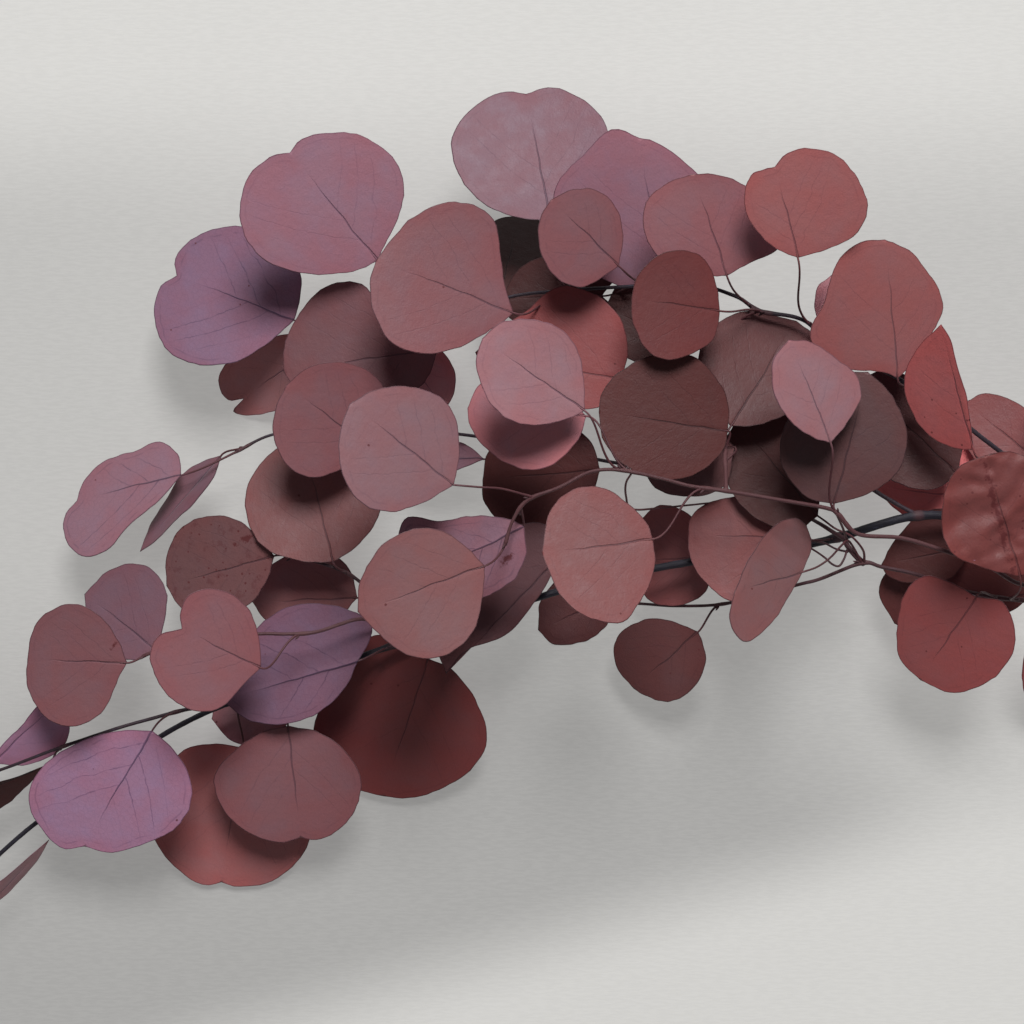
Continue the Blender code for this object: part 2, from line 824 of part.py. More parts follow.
def plain_material(name, colour, roughness):
    material = bpy.data.materials.new(name)
    material.use_nodes = True
    shader = material.node_tree.nodes["Principled BSDF"]
    shader.inputs["Base Color"].default_value = colour
    shader.inputs["Roughness"].default_value = roughness
    shader.inputs["Metallic"].default_value = 0.0
    return material


def stem_line(twig, lines):
    """The twig's stem line, whose first point is moved onto the line of the stem that carries it."""
    route = [from_photo(place) for place in twig.route]
    line = smooth_line(route, lambda span: max(1, round(span / STEM_STEP)))
    if twig.parent:
        carrier = lines[twig.parent][0]
        line[0] = point_along(carrier, nearest_distance(carrier, line[0]))
    return line


def make_twig(twig, lines, branch, repeats, cutters):
    """One node: a twig's stem with its stalks and blades, cut to the stem that it grows from."""
    line = stem_line(twig, lines)
    radii = tapered_radii(line, twig.root_radius, twig.tip_radius)
    lines[twig.name] = (line, radii)
    stem = tube(twig.name, line, radii, 1, branch)
    for index, one in enumerate(twig.leaves):
        name = f"{twig.name}_leaf_{index}"
        stalk = stalk_line(one, line)
        tube(name + "_stalk", stalk, tapered_radii(stalk, STALK_ROOT_RADIUS, STALK_TIP_RADIUS), 0, repeats)
        blade(one, name, leaf_character(twig, index), repeats)
    join_leaves(stem, repeats)
    if twig.parent:
        cut_joint(stem, *lines[twig.parent], cutters)
    colour = LEAF_COLOUR if twig.parent else WOOD_COLOUR
    stem.data.materials.clear()
    stem.data.materials.append(plain_material(twig.name, colour, 0.7))
    stem.data.shade_smooth()
    stem.data.set_sharp_from_angle(angle=math.radians(35))


def clear_scene():
    for item in list(bpy.data.objects):
        bpy.data.objects.remove(item)


def new_collection(name):
    collection = bpy.data.collections.new(name)
    bpy.context.scene.collection.children.link(collection)
    return collection


def main():
    clear_scene()
    branch = new_collection("eucalyptus_branch")
    repeats = new_collection("leaves_to_join")
    cutters = new_collection("cutters")
    lines = {}
    for twig in TWIGS:
        make_twig(twig, lines, branch, repeats, cutters)


if __name__ == "__main__":
    main()
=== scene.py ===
"""The looks of a preserved, dyed eucalyptus branch with round leaves, built around its solid model.

Each leafy twig of the solid model gets three pieces in its own place: its bark stem, its leaf
stalks and its leaf blades. Metres, +Z up, the table at Z = 0. A place in a leaf or stem table is a
photograph column and row, with its height above the table in millimetres.
"""

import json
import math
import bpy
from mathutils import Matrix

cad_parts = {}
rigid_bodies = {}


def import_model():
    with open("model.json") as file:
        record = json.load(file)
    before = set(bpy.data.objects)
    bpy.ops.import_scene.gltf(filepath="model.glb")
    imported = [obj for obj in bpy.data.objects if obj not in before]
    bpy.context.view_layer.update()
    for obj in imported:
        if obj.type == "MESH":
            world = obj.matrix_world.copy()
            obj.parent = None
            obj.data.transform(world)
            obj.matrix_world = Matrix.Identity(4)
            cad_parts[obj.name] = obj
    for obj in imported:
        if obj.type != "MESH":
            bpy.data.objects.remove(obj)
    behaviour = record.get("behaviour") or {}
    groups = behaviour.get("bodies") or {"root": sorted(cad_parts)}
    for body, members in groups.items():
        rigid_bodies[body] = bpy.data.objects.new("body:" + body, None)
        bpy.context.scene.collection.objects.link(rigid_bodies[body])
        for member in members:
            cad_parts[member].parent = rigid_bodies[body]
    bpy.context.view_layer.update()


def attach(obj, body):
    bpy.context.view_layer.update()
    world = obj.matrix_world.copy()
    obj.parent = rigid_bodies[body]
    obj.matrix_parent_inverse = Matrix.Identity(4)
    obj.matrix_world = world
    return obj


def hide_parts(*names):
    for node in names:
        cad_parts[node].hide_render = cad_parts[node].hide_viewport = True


bl_info = {
    "name": "Eucalyptus Branch",
    "version": (1, 0, 0),
    "blender": (4, 5, 0),
    "location": "3D View > Sidebar > Eucalyptus",
    "description": "Builds the leaves, stalks, stems and stage of a dyed eucalyptus branch",
    "category": "Object",
}

from collections import namedtuple
from random import Random

import bpy
import numpy as np
from bpy.props import FloatProperty, FloatVectorProperty, IntProperty, PointerProperty
from bpy.types import Operator, Panel, PropertyGroup
from mathutils import Matrix, Vector, noise
from mathutils.geometry import interpolate_bezier, intersect_point_line

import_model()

MM = 0.001

# The photograph's scale, where its camera stood, and the place that is the part's origin.
PHOTO_SIDE = 1024
PHOTO_MIDDLE = 512
MM_PER_PIXEL = 0.4
SCALE_HEIGHT = 60.0
CAMERA_HEIGHT = 1060.0
ORIGIN_COLUMN = 666
ORIGIN_ROW = 554

# Stalks and stems, as in the solid model.
STALK_SINK = 6.0 * MM
STALK_SETBACK = 5.0 * MM
STALK_SETBACKS = [back * MM for back in range(2, 30, 3)]
STALK_REACH = 26.0 * MM
SMOOTH_STEPS = 6
SUNK_STEPS = 6

# How far from a leaf's root its stem is still swollen, and how long a side twig's thicker foot is.
NODE_REACH = 2.4 * MM
COLLAR_LENGTH = 4 * MM

# How far the rounded end of a tube stands out, and the edge of a cut, as shares of the radius.
TUBE_END = 0.6
CUT_EDGE = 0.985
WRINKLE_LENGTH = 5 * MM

# A bud's radius, and how far it sits ahead of its leaf's root and out of the stem.
BUD_RADIUS = 1.1 * MM
BUD_AHEAD = 1.3 * MM
BUD_ASIDE = 0.4 * MM

# How far the lowest leaf and the cut end stay above the table.
TABLE_GAP = 0.05 * MM

# How the points of a blade are spread from its midrib to its edge, and where its rim rounds over.
ACROSS = (0.0, 0.03, 0.08, 0.16, 0.27, 0.40, 0.54, 0.68, 0.81, 0.92, 0.985, 1.0)
RIM_THINNING = 0.55

# The lie of a blade's side veins: how steeply they leave the midrib and how far they bend.
VEIN_SPACING = 0.19
VEIN_SLANT = 0.9
VEIN_BEND = 0.8
VEIN_STAGGER = 0.45

# Casts for the dark grain of bark, the streaks of a stalk, and the painted shade on the table's colour and
# on its painted glow.
GRAIN_CAST = (0.4, 0.38, 0.42)
STREAK_CAST = (0.55, 0.5, 0.56)
PAINTED_SHADE_CAST = (0.45, 0.45, 0.45)
PAINTED_SHADE_GLOW_CAST = (0.45, 0.45, 0.46)

# The fill light's side in metres, and the colour of the room's even light.
FILL_SIDE = 1.2
ROOM_COLOUR = (0.93, 0.96, 1.0, 1.0)

Place = namedtuple("Place", "column row height")
Leaf = namedtuple(
    "Leaf", "base tip edges roll cup bend tone shade shows_underside wear stain crumple stalk"
)
Twig = namedtuple("Twig", "name parent root_radius tip_radius age route leaves spurs", defaults=[()])
Spur = namedtuple("Spur", "root_radius tip_radius route")


def leaf(
    base, tip, one_edge, other_edge, roll=0.0, cup=0.05, bend=0.04,
    tone="rose", shade=1.0, shows_underside=False, wear=0.004, stain=None, crumple=0.0, stalk=(),
):
    """A leaf from its blade's base to its tip, which is the bottom of the nick if the tip has one.

    The edges are the photograph's columns and rows that the blade's two edges pass through, both
    from base to tip. roll is the blade's turn about its midrib in degrees, cup how far its sides
    rise and bend how far its tip drops, as shares of its size. tone names its colour, and shade
    makes it lighter or darker: partly the dye's own depth, partly painted light and shade, darker
    on leaves that lie in the shadow of others and lighter on a few. wear is its share of brown
    specks, stain is a brown mark from one column and row to another with half its width in
    millimetres, crumple is the depth of its creases in millimetres, and stalk is the places that
    its stalk passes, where they aren't left to the rule.
    """
    return Leaf(
        Place(*base), Place(*tip), (one_edge, other_edge), roll, cup, bend,
        tone, shade, shows_underside, wear, stain, crumple, stalk,
    )


MAIN_STEM = Twig(
    "main_stem",
    None,
    2.3 * MM,
    0.8 * MM,
    1.0,
    [
        (1492, 640, 2.0), (1400, 622, 4.5), (1300, 600, 12), (1200, 574, 24), (1110, 550, 34),
        (1024, 528, 42), (965, 518, 46), (909, 517, 48), (815, 543, 48), (690, 562, 44),
        (600, 580, 41), (540, 597, 39), (450, 627, 37), (371, 653, 36), (290, 685, 33),
        (219, 707, 30), (158, 738, 27), (95, 783, 24), (40, 820, 22), (2, 852, 21),
        (-28, 882, 19), (-62, 906, 17), (-90, 922, 14),
    ],
    [
        leaf(
            (358, 661, 46), (221, 700, 44),
            [(369, 642), (372, 624), (350, 610), (318, 603), (285, 608), (255, 630), (232, 662)],
            [(345, 688), (318, 713), (285, 724), (248, 720)],
            tone="lilac", shade=0.55, shows_underside=True,
        ),
        leaf(
            (428, 659, 29), (383, 797, 7),
            [(402, 636), (360, 643), (328, 690), (312, 738), (330, 773), (358, 791)],
            [(452, 670), (475, 700), (487, 738), (474, 768), (445, 788), (412, 799)],
            cup=-0.05, tone="brick", shade=0.6,
        ),
        leaf(
            (288, 726, 36), (301, 838, 27),
            [(262, 732), (232, 752), (214, 778), (226, 812), (252, 834), (280, 843)],
            [(318, 732), (345, 750), (361, 778), (354, 813), (334, 834), (315, 841)],
            tone="rose", shade=0.7,
        ),
        leaf(
            (243, 748, 22), (221, 883, 5),
            [(215, 744), (183, 751), (162, 780), (150, 815), (160, 850), (188, 878), (206, 886)],
            [(275, 755), (300, 785), (312, 825), (300, 860), (270, 884), (238, 888)],
            cup=-0.04, tone="clay", shade=1.35,
        ),
        leaf(
            (290, 702, 24), (211, 719, 18),
            [(270, 690), (240, 688), (220, 697)],
            [(285, 728), (262, 745), (231, 741)],
            tone="pink", shade=1.0,
        ),
        leaf(
            (562, 554, 47), (446, 674, 47),
            [(545, 524), (505, 530), (458, 562), (430, 620)],
            [(549, 580), (535, 602), (506, 635), (467, 650)],
            tone="rose", shade=0.37,
        ),
        leaf(
            (712, 558, 34), (634, 560, 20),
            [(692, 517), (660, 505), (638, 525)],
            [(705, 592), (676, 606), (645, 598)],
            cup=-0.05, tone="clay", shade=0.9,
        ),
        leaf(
            (812, 540, 56), (688, 533, 53),
            [(795, 506), (748, 496), (707, 503), (691, 518)],
            [(790, 580), (760, 601), (728, 600), (702, 579), (690, 556)],
            tone="clay", shade=0.7,
        ),
        leaf(
            (985, 500, 38), (870, 485, 25),
            [(974, 452), (932, 440), (893, 458)],
            [(965, 530), (928, 532), (894, 508)],
            tone="brick", shade=2.2,
        ),
        leaf(
            (972, 546, 38), (881, 565, 30),
            [(955, 512), (925, 512), (896, 538)],
            [(952, 578), (915, 583), (890, 578)],
            tone="plum", shade=0.38,
        ),
        leaf(
            (-34, 928, 24), (50, 841, 27),
            [(-22, 902), (0, 882), (25, 861)],
            [(-12, 909), (17, 884), (37, 862)],
            roll=60, cup=0.0, tone="pink", shade=0.8,
        ),
        leaf(
            (-74, 905, 20), (-142, 842, 34),
            [(-115, 915), (-148, 890)],
            [(-68, 868), (-100, 838)],
            roll=20, tone="mauve",
        ),
        leaf(
            (-95, 932, 13), (-178, 985, 1.2),
            [(-120, 925), (-155, 930), (-178, 955)],
            [(-100, 962), (-122, 990), (-155, 998)],
            cup=-0.04, tone="umber",
        ),
        leaf(
            (1252, 560, 28), (1292, 466, 46),
            [(1232, 532), (1228, 492), (1256, 466)],
            [(1286, 554), (1318, 522), (1322, 482)],
            roll=-15, tone="brick",
        ),
        leaf(
            (1240, 612, 14), (1212, 708, 0.7),
            [(1212, 620), (1186, 655), (1185, 692)],
            [(1270, 632), (1276, 675), (1246, 706)],
            cup=-0.05, tone="brick", shade=0.85,
        ),
    ],
)

UPPER_TWIG = Twig(
    "upper_twig",
    "main_stem",
    1.3 * MM,
    0.7 * MM,
    0.9,
    [
        (1190, 572, 26), (1110, 520, 44), (1024, 468, 56), (985, 440, 60), (940, 405, 63),
        (880, 368, 66), (840, 350, 67), (803, 320, 68), (760, 311, 68), (735, 296, 67),
        (690, 284, 65), (620, 287, 61), (560, 291, 57), (510, 297, 53), (450, 318, 48),
        (400, 338, 43), (350, 352, 38), (322, 350, 35),
    ],
    [
        leaf(
            (378, 261, 64), (290, 153, 86),
            [(384, 246), (399, 215), (404, 183), (390, 154), (355, 134), (318, 135), (300, 141)],
            [(350, 272), (305, 273), (262, 257), (240, 222), (246, 180), (270, 157)],
            roll=-8, tone="mauve", shade=1.1,
        ),
        leaf(
            (294, 320, 42), (176, 275, 26),
            [(300, 300), (301, 275), (285, 245), (255, 229), (222, 228), (193, 238), (175, 257)],
            [(272, 340), (238, 362), (200, 366), (168, 351), (154, 318), (158, 288)],
            roll=8, tone="lilac", shade=0.6, shows_underside=True, wear=0.01,
        ),
        leaf(
            (308, 352, 22), (243, 399, 4.7),
            [(298, 334), (264, 340), (231, 358), (217, 380), (226, 400)],
            [(304, 385), (280, 408), (250, 416), (232, 412)],
            cup=-0.03, tone="umber", shade=1.85,
        ),
        leaf(
            (438, 348, 54), (283, 372, 49),
            [(418, 337), (388, 316), (362, 284), (325, 287), (300, 312), (284, 343)],
            [(425, 382), (388, 402), (345, 410), (305, 400)],
            tone="rose", shade=0.55,
        ),
        leaf(
            (514, 313, 76), (377, 260, 92),
            [(506, 290), (500, 255), (493, 222), (470, 205), (440, 204), (408, 221), (388, 245)],
            [(495, 327), (462, 346), (425, 354), (392, 344), (374, 312), (371, 282)],
            roll=5, tone="rose", shade=0.75,
        ),
        leaf(
            (402, 345, 36), (443, 412, 38),
            [(380, 360), (383, 392), (408, 413)],
            [(430, 343), (450, 360), (456, 388)],
            tone="umber", shade=2.4,
        ),
        leaf(
            (551, 221, 58), (526, 93, 48),
            [(515, 217), (480, 202), (457, 172), (452, 138), (472, 107), (502, 91)],
            [(585, 200), (606, 165), (607, 130), (588, 104), (554, 87)],
            tone="mauve", shade=0.6,
        ),
        leaf(
            (660, 274, 59), (640, 139, 82),
            [(640, 287), (606, 281), (572, 250), (555, 214), (556, 183), (582, 155), (612, 130)],
            [(690, 255), (708, 220), (705, 184), (680, 158), (656, 143)],
            tone="mauve", shade=0.95,
        ),
        leaf(
            (619, 266, 82), (551, 200, 97),
            [(623, 238), (616, 207), (596, 190), (570, 190)],
            [(605, 276), (580, 287), (554, 276), (539, 248), (540, 219)],
            tone="rose", shade=0.75,
        ),
        leaf(
            (727, 276, 84), (693, 174, 97),
            [(705, 275), (670, 268), (646, 238), (645, 205), (666, 184)],
            [(752, 262), (778, 247), (775, 215), (752, 190), (724, 176)],
            tone="rose", shade=0.95,
        ),
        leaf(
            (798, 258, 98), (775, 167, 112),
            [(772, 246), (750, 222), (744, 195), (753, 174)],
            [(828, 249), (856, 233), (867, 207), (858, 180), (838, 156), (806, 148), (785, 156)],
            tone="clay", shade=1.15,
        ),
        leaf(
            (497, 306, 36), (520, 213, 3.0),
            [(480, 285), (478, 250), (494, 221)],
            [(525, 290), (560, 262), (565, 232), (548, 215)],
            tone="plum", shade=0.2,
        ),
        leaf(
            (602, 296, 46), (500, 298, 42),
            [(615, 270), (560, 256), (522, 266)],
            [(622, 318), (565, 326), (514, 321)],
            tone="plum", shade=0.24,
        ),
        leaf(
            (720, 311, 90), (632, 298, 100),
            [(716, 283), (702, 257), (675, 250), (648, 262), (635, 282)],
            [(718, 325), (711, 342), (690, 354), (664, 360), (644, 347), (633, 320)],
            tone="brick", shade=0.4,
        ),
        leaf(
            (862, 345, 58), (835, 272, 54),
            [(838, 340), (817, 320), (816, 290)],
            [(880, 315), (862, 280)],
            tone="rose", shade=1.6,
        ),
        leaf(
            (898, 379, 73), (886, 240, 90),
            [(884, 372), (856, 371), (830, 363), (813, 338), (826, 302), (837, 266), (858, 244)],
            [(912, 363), (932, 335), (945, 308), (936, 282), (912, 252)],
            roll=14, cup=-0.12, tone="clay", shade=0.95,
        ),
        leaf(
            (973, 450, 82), (940, 325, 95),
            [(950, 447), (925, 430), (909, 400), (906, 372), (920, 345)],
            [(971, 425), (965, 390), (956, 362), (950, 340)],
            roll=-42, tone="brick", shade=1.25, wear=0.06,
        ),
        leaf(
            (1052, 472, 46), (964, 402, 38),
            [(1055, 430), (1025, 408), (990, 393)],
            [(1025, 482), (985, 472), (962, 435)],
            tone="brick", shade=0.6,
        ),
        leaf(
            (958, 474, 52), (858, 380, 46),
            [(962, 430), (935, 392), (890, 370)],
            [(930, 490), (888, 478), (856, 436)],
            tone="brick", shade=0.2,
        ),
        leaf(
            (695, 345, 54), (605, 308, 52),
            [(690, 312), (660, 286), (620, 284)],
            [(675, 362), (640, 364), (612, 345)],
            tone="plum", shade=0.26,
        ),
        leaf(
            (1072, 466, 62), (1098, 362, 80),
            [(1045, 440), (1038, 400), (1062, 366)],
            [(1105, 458), (1135, 425), (1130, 380)],
            roll=-15, tone="brick",
        ),
    ],
)

BACK_TWIG = Twig(
    "back_twig",
    "main_stem",
    1.1 * MM,
    0.7 * MM,
    0.8,
    [
        (918, 516, 48), (888, 499, 46), (850, 478, 42), (800, 470, 39), (750, 471, 37),
        (700, 472, 35), (650, 468, 33), (600, 460, 31), (545, 448, 29), (500, 440, 28),
        (458, 434, 28), (400, 428, 29), (340, 428, 30), (275, 434, 32), (236, 452, 33),
    ],
    [
        leaf(
            (374, 452, 58), (287, 385, 72),
            [(387, 420), (384, 388), (365, 369), (335, 361), (306, 369)],
            [(350, 464), (318, 477), (290, 468), (274, 440), (276, 408)],
            tone="rose", shade=0.7,
        ),
        leaf(
            (181, 475, 34), (76, 500, 24),
            [(178, 455), (160, 442), (135, 452), (105, 462), (84, 481)],
            [(160, 500), (128, 527), (108, 550), (82, 556), (64, 538), (63, 515)],
            roll=30, tone="mauve", shade=0.75, shows_underside=True,
        ),
        leaf(
            (221, 455, 28), (139, 551, 26),
            [(204, 461), (183, 475), (165, 500), (151, 522)],
            [(213, 478), (196, 499), (176, 521), (156, 540)],
            roll=45, cup=0.0, tone="mauve", shade=0.5,
        ),
        leaf(
            (600, 470, 46), (482, 480, 36),
            [(590, 440), (555, 420), (510, 430), (488, 452)],
            [(586, 508), (548, 532), (506, 525), (484, 503)],
            cup=-0.05, tone="plum", shade=0.38,
        ),
        leaf(
            (484, 459, 27), (400, 457, 20),
            [(470, 447), (450, 441), (418, 440)],
            [(470, 465), (450, 472), (418, 474)],
            roll=40, tone="mauve", shade=0.6, shows_underside=True,
        ),
    ],
)

FRONT_TWIG = Twig(
    "front_twig",
    "main_stem",
    1.2 * MM,
    0.8 * MM,
    0.15,
    [
        (1135, 557, 31), (1080, 586, 54), (1024, 585, 66), (989, 567, 72), (942, 550, 76),
        (901, 538, 79), (858, 534, 82), (838, 514, 84), (826, 508, 85), (780, 500, 89),
        (726, 491, 92), (690, 486, 94), (660, 478, 95), (620, 470, 96), (590, 472, 96),
        (560, 487, 96), (528, 500, 95), (513, 520, 94), (505, 545, 93),
    ],
    [
        leaf(
            (485, 566, 100), (358, 612, 112),
            [(466, 546), (440, 530), (408, 530), (378, 549), (360, 582)],
            [(482, 600), (472, 632), (445, 655), (410, 656), (380, 635)],
            roll=-8, tone="umber", shade=1.05,
        ),
        leaf(
            (454, 485, 104), (350, 404, 118),
            [(459, 455), (457, 425), (445, 401), (414, 387), (378, 389)],
            [(430, 499), (395, 511), (362, 504), (342, 475), (339, 437)],
            roll=6, tone="pink", shade=0.65,
            stalk=[(533, 497, 95), (503, 489, 99), (478, 487, 102)],
        ),
        leaf(
            (524, 526, 88), (420, 578, 74),
            [(505, 518), (470, 516), (440, 521), (405, 518), (399, 545)],
            [(526, 552), (515, 578), (485, 597), (450, 600)],
            cup=-0.06,
            tone="mauve", shade=0.8, shows_underside=True, stain=((503, 562), (509, 557), 1.6),
            stalk=[(520, 507, 95), (523, 517, 91)],
        ),
        leaf(
            (585, 411, 106), (483, 339, 122),
            [(584, 385), (578, 352), (560, 328), (530, 319), (502, 323)],
            [(560, 421), (530, 425), (502, 415), (484, 392), (476, 362)],
            roll=-6, tone="pink", shade=0.95,
        ),
        leaf(
            (653, 539, 104), (542, 553, 112),
            [(646, 522), (628, 503), (600, 487), (570, 491), (549, 514)],
            [(655, 562), (645, 593), (622, 622), (590, 619), (560, 596)],
            roll=8, tone="clay", shade=0.71,
        ),
        leaf(
            (586, 416, 92), (467, 408, 78),
            [(560, 390), (520, 375), (482, 382)],
            [(578, 440), (556, 463), (526, 470), (492, 454), (470, 428)],
            tone="rose", shade=1.5,
        ),
        leaf(
            (831, 443, 100), (790, 340, 116),
            [(812, 437), (788, 420), (773, 392), (774, 360)],
            [(846, 424), (860, 398), (855, 374), (836, 359), (813, 343)],
            roll=22, tone="pink", shade=0.85,
        ),
        leaf(
            (834, 504, 80), (868, 372, 88),
            [(808, 498), (785, 472), (780, 440), (800, 400), (835, 375)],
            [(868, 494), (896, 474), (907, 445), (903, 418), (888, 390)],
            tone="umber", shade=0.45,
        ),
    ],
    [
        Spur(0.42 * MM, 0.38 * MM, [
            (631, 474, 95), (626, 483, 92), (626, 496, 87), (632, 509, 80), (660, 508, 68),
            (690, 505, 58), (716, 503, 50), (742, 506, 47),
        ]),
        Spur(0.45 * MM, 0.5 * MM, [(835, 511, 84), (842, 526, 74), (847, 540, 62)]),
    ],
)

INNER_TWIG = Twig(
    "inner_twig",
    "front_twig",
    1.0 * MM,
    0.7 * MM,
    0.1,
    [(726, 491, 92), (725, 462, 84), (722, 438, 77), (695, 420, 71), (660, 402, 67), (640, 390, 66)],
    [
        leaf(
            (728, 431, 84), (599, 412, 90),
            [(728, 402), (716, 378), (692, 356), (655, 355), (620, 371), (602, 393)],
            [(722, 452), (698, 473), (660, 480), (625, 466), (603, 440)],
            tone="plum", shade=0.4,
        ),
        leaf(
            (731, 426, 75), (797, 320, 60),
            [(708, 398), (697, 362), (709, 332), (746, 311)],
            [(762, 424), (800, 406), (822, 372), (818, 338)],
            tone="clay", shade=0.36,
        ),
        leaf(
            (735, 447, 64), (640, 462, 56),
            [(715, 430), (680, 425), (650, 438)],
            [(725, 485), (690, 497), (655, 488)],
            tone="umber", shade=0.62,
            stalk=[(725, 462, 84), (732, 455, 76), (736, 451, 68)],
        ),
        leaf(
            (622, 379, 67), (475, 352, 64),
            [(628, 350), (620, 318), (598, 296), (568, 286), (546, 293), (528, 310), (502, 328)],
            [(617, 396), (592, 409), (540, 404), (490, 385)],
            tone="brick", shade=0.75,
        ),
    ],
)

LOWER_TWIG = Twig(
    "lower_twig",
    "main_stem",
    1.2 * MM,
    0.7 * MM,
    0.35,
    [
        (1112, 551, 34), (1060, 590, 42), (1024, 600, 46), (958, 590, 50), (919, 575, 53),
        (882, 567, 55), (862, 563, 55), (820, 579, 51), (797, 585, 48), (729, 603, 36),
        (680, 606, 24), (645, 604, 12), (632, 603, 6),
    ],
    [
        leaf(
            (818, 516, 61), (736, 420, 58),
            [(820, 478), (810, 440), (782, 413)],
            [(795, 531), (762, 522), (735, 498), (720, 455)],
            tone="plum", shade=0.3,
            stalk=[(864, 560, 56), (863, 550, 60), (851, 536, 65), (836, 529, 66), (825, 521, 64)],
        ),
        leaf(
            (803, 572, 66), (736, 592, 92),
            [(812, 545), (800, 520), (775, 524), (752, 553)],
            [(790, 595), (770, 623), (745, 642), (731, 622)],
            tone="umber", shade=0.9,
            stalk=[(862, 563, 56), (849, 541, 62), (842, 545, 65), (830, 558, 68), (817, 567, 68)],
        ),
        leaf(
            (698, 632, 30), (633, 689, 14),
            [(680, 624), (655, 618), (630, 625), (616, 642), (617, 668)],
            [(705, 650), (704, 670), (692, 690), (670, 702), (648, 698)],
            roll=8, tone="clay", shade=0.4,
        ),
        leaf(
            (612, 598, 0.4), (538, 630, 0.4),
            [(600, 580), (565, 575), (541, 600)],
            [(607, 625), (585, 641), (555, 645)],
            cup=0.0, bend=0.0, tone="clay", shade=0.5,
        ),
        leaf(
            (1020, 577, 80), (985, 455, 88),
            [(985, 568), (950, 552), (941, 520), (946, 485), (962, 464)],
            [(1048, 560), (1057, 520), (1045, 475), (1015, 452)],
            cup=0.08,
            tone="plum", shade=0.8, wear=0.1, stain=((984, 462), (1012, 572), 1.7), crumple=0.9,
        ),
        leaf(
            (976, 597, 61), (920, 681, 38),
            [(950, 582), (925, 575), (905, 592), (897, 630), (900, 660)],
            [(1004, 603), (1016, 635), (1008, 662), (985, 683), (952, 693)],
            roll=6, tone="brick", shade=0.95,
        ),
        leaf(
            (1034, 592, 37), (894, 624, 20),
            [(1010, 560), (950, 554), (900, 562), (878, 590)],
            [(1010, 612), (970, 622), (924, 636)],
            tone="plum", shade=0.55,
        ),
        leaf(
            (1055, 612, 40), (1050, 712, 18),
            [(1030, 635), (1022, 680), (1032, 706)],
            [(1085, 625), (1100, 665), (1080, 705)],
            tone="brick", shade=0.9,
        ),
    ],
    [
        Spur(1.2 * MM, 1.0 * MM, [(864, 564, 54), (854, 554, 56), (847, 545, 55), (843, 537, 50)]),
        Spur(0.9 * MM, 0.7 * MM, [(846, 540, 56), (833, 532, 60), (822, 525, 58), (808, 517, 52)]),
        Spur(0.45 * MM, 0.4 * MM, [
            (847, 550, 57), (844, 559, 59), (839, 566, 60), (832, 564, 60), (824, 557, 58), (812, 549, 53),
            (800, 544, 49),
        ]),
        Spur(0.45 * MM, 0.4 * MM, [(848, 552, 57), (836, 549, 58), (824, 543, 56), (810, 541, 52)]),
    ],
)

SIDE_TWIG = Twig(
    "side_twig",
    "main_stem",
    1.1 * MM,
    0.7 * MM,
    0.5,
    [
        (485, 614, 38), (440, 606, 43), (400, 598, 46), (370, 588, 48), (345, 572, 47), (310, 560, 46),
        (290, 556, 45),
    ],
    [
        leaf(
            (333, 562, 50), (303, 440, 34),
            [(300, 561), (262, 546), (245, 508), (252, 475), (275, 448)],
            [(358, 546), (379, 517), (382, 485), (360, 452), (330, 438)],
            tone="clay", shade=0.57,
        ),
        leaf(
            (274, 556, 44), (166, 586, 30),
            [(258, 536), (236, 519), (207, 516), (180, 529), (166, 557)],
            [(266, 582), (248, 606), (215, 618), (184, 611)],
            tone="umber", shade=0.72, wear=0.3, stain=((237, 543), (254, 535), 1.3),
        ),
        leaf(
            (357, 598, 30), (251, 602, 14),
            [(352, 574), (338, 558), (300, 552), (266, 570)],
            [(340, 615), (300, 628), (268, 622)],
            tone="umber", shade=1.15,
        ),
    ],
)

LEFT_TWIG = Twig(
    "left_twig",
    "main_stem",
    1.0 * MM,
    0.7 * MM,
    0.2,
    [
        (404, 642, 36), (385, 628, 48), (360, 619, 58), (316, 632, 63), (285, 634, 65),
        (258, 634, 66), (205, 640, 66), (160, 650, 64), (143, 656, 63),
    ],
    [
        leaf(
            (261, 668, 74), (182, 629, 90),
            [(260, 645), (252, 615), (235, 596), (212, 588), (190, 594), (181, 612)],
            [(246, 682), (222, 706), (196, 711), (168, 696), (151, 663), (158, 637)],
            tone="rose", shade=0.95,
        ),
        leaf(
            (127, 663, 66), (27, 660, 66),
            [(118, 640), (100, 615), (72, 603), (45, 614), (31, 635)],
            [(117, 682), (104, 710), (75, 726), (45, 716), (27, 688)],
            roll=-10, tone="rose", shade=0.65, stain=((111, 651), (115, 644), 0.8),
        ),
        leaf(
            (157, 650, 57), (84, 594, 42),
            [(166, 615), (167, 590), (153, 570), (130, 564), (105, 574)],
            [(138, 660), (110, 656), (88, 632)],
            tone="mauve", shade=0.5,
        ),
    ],
)

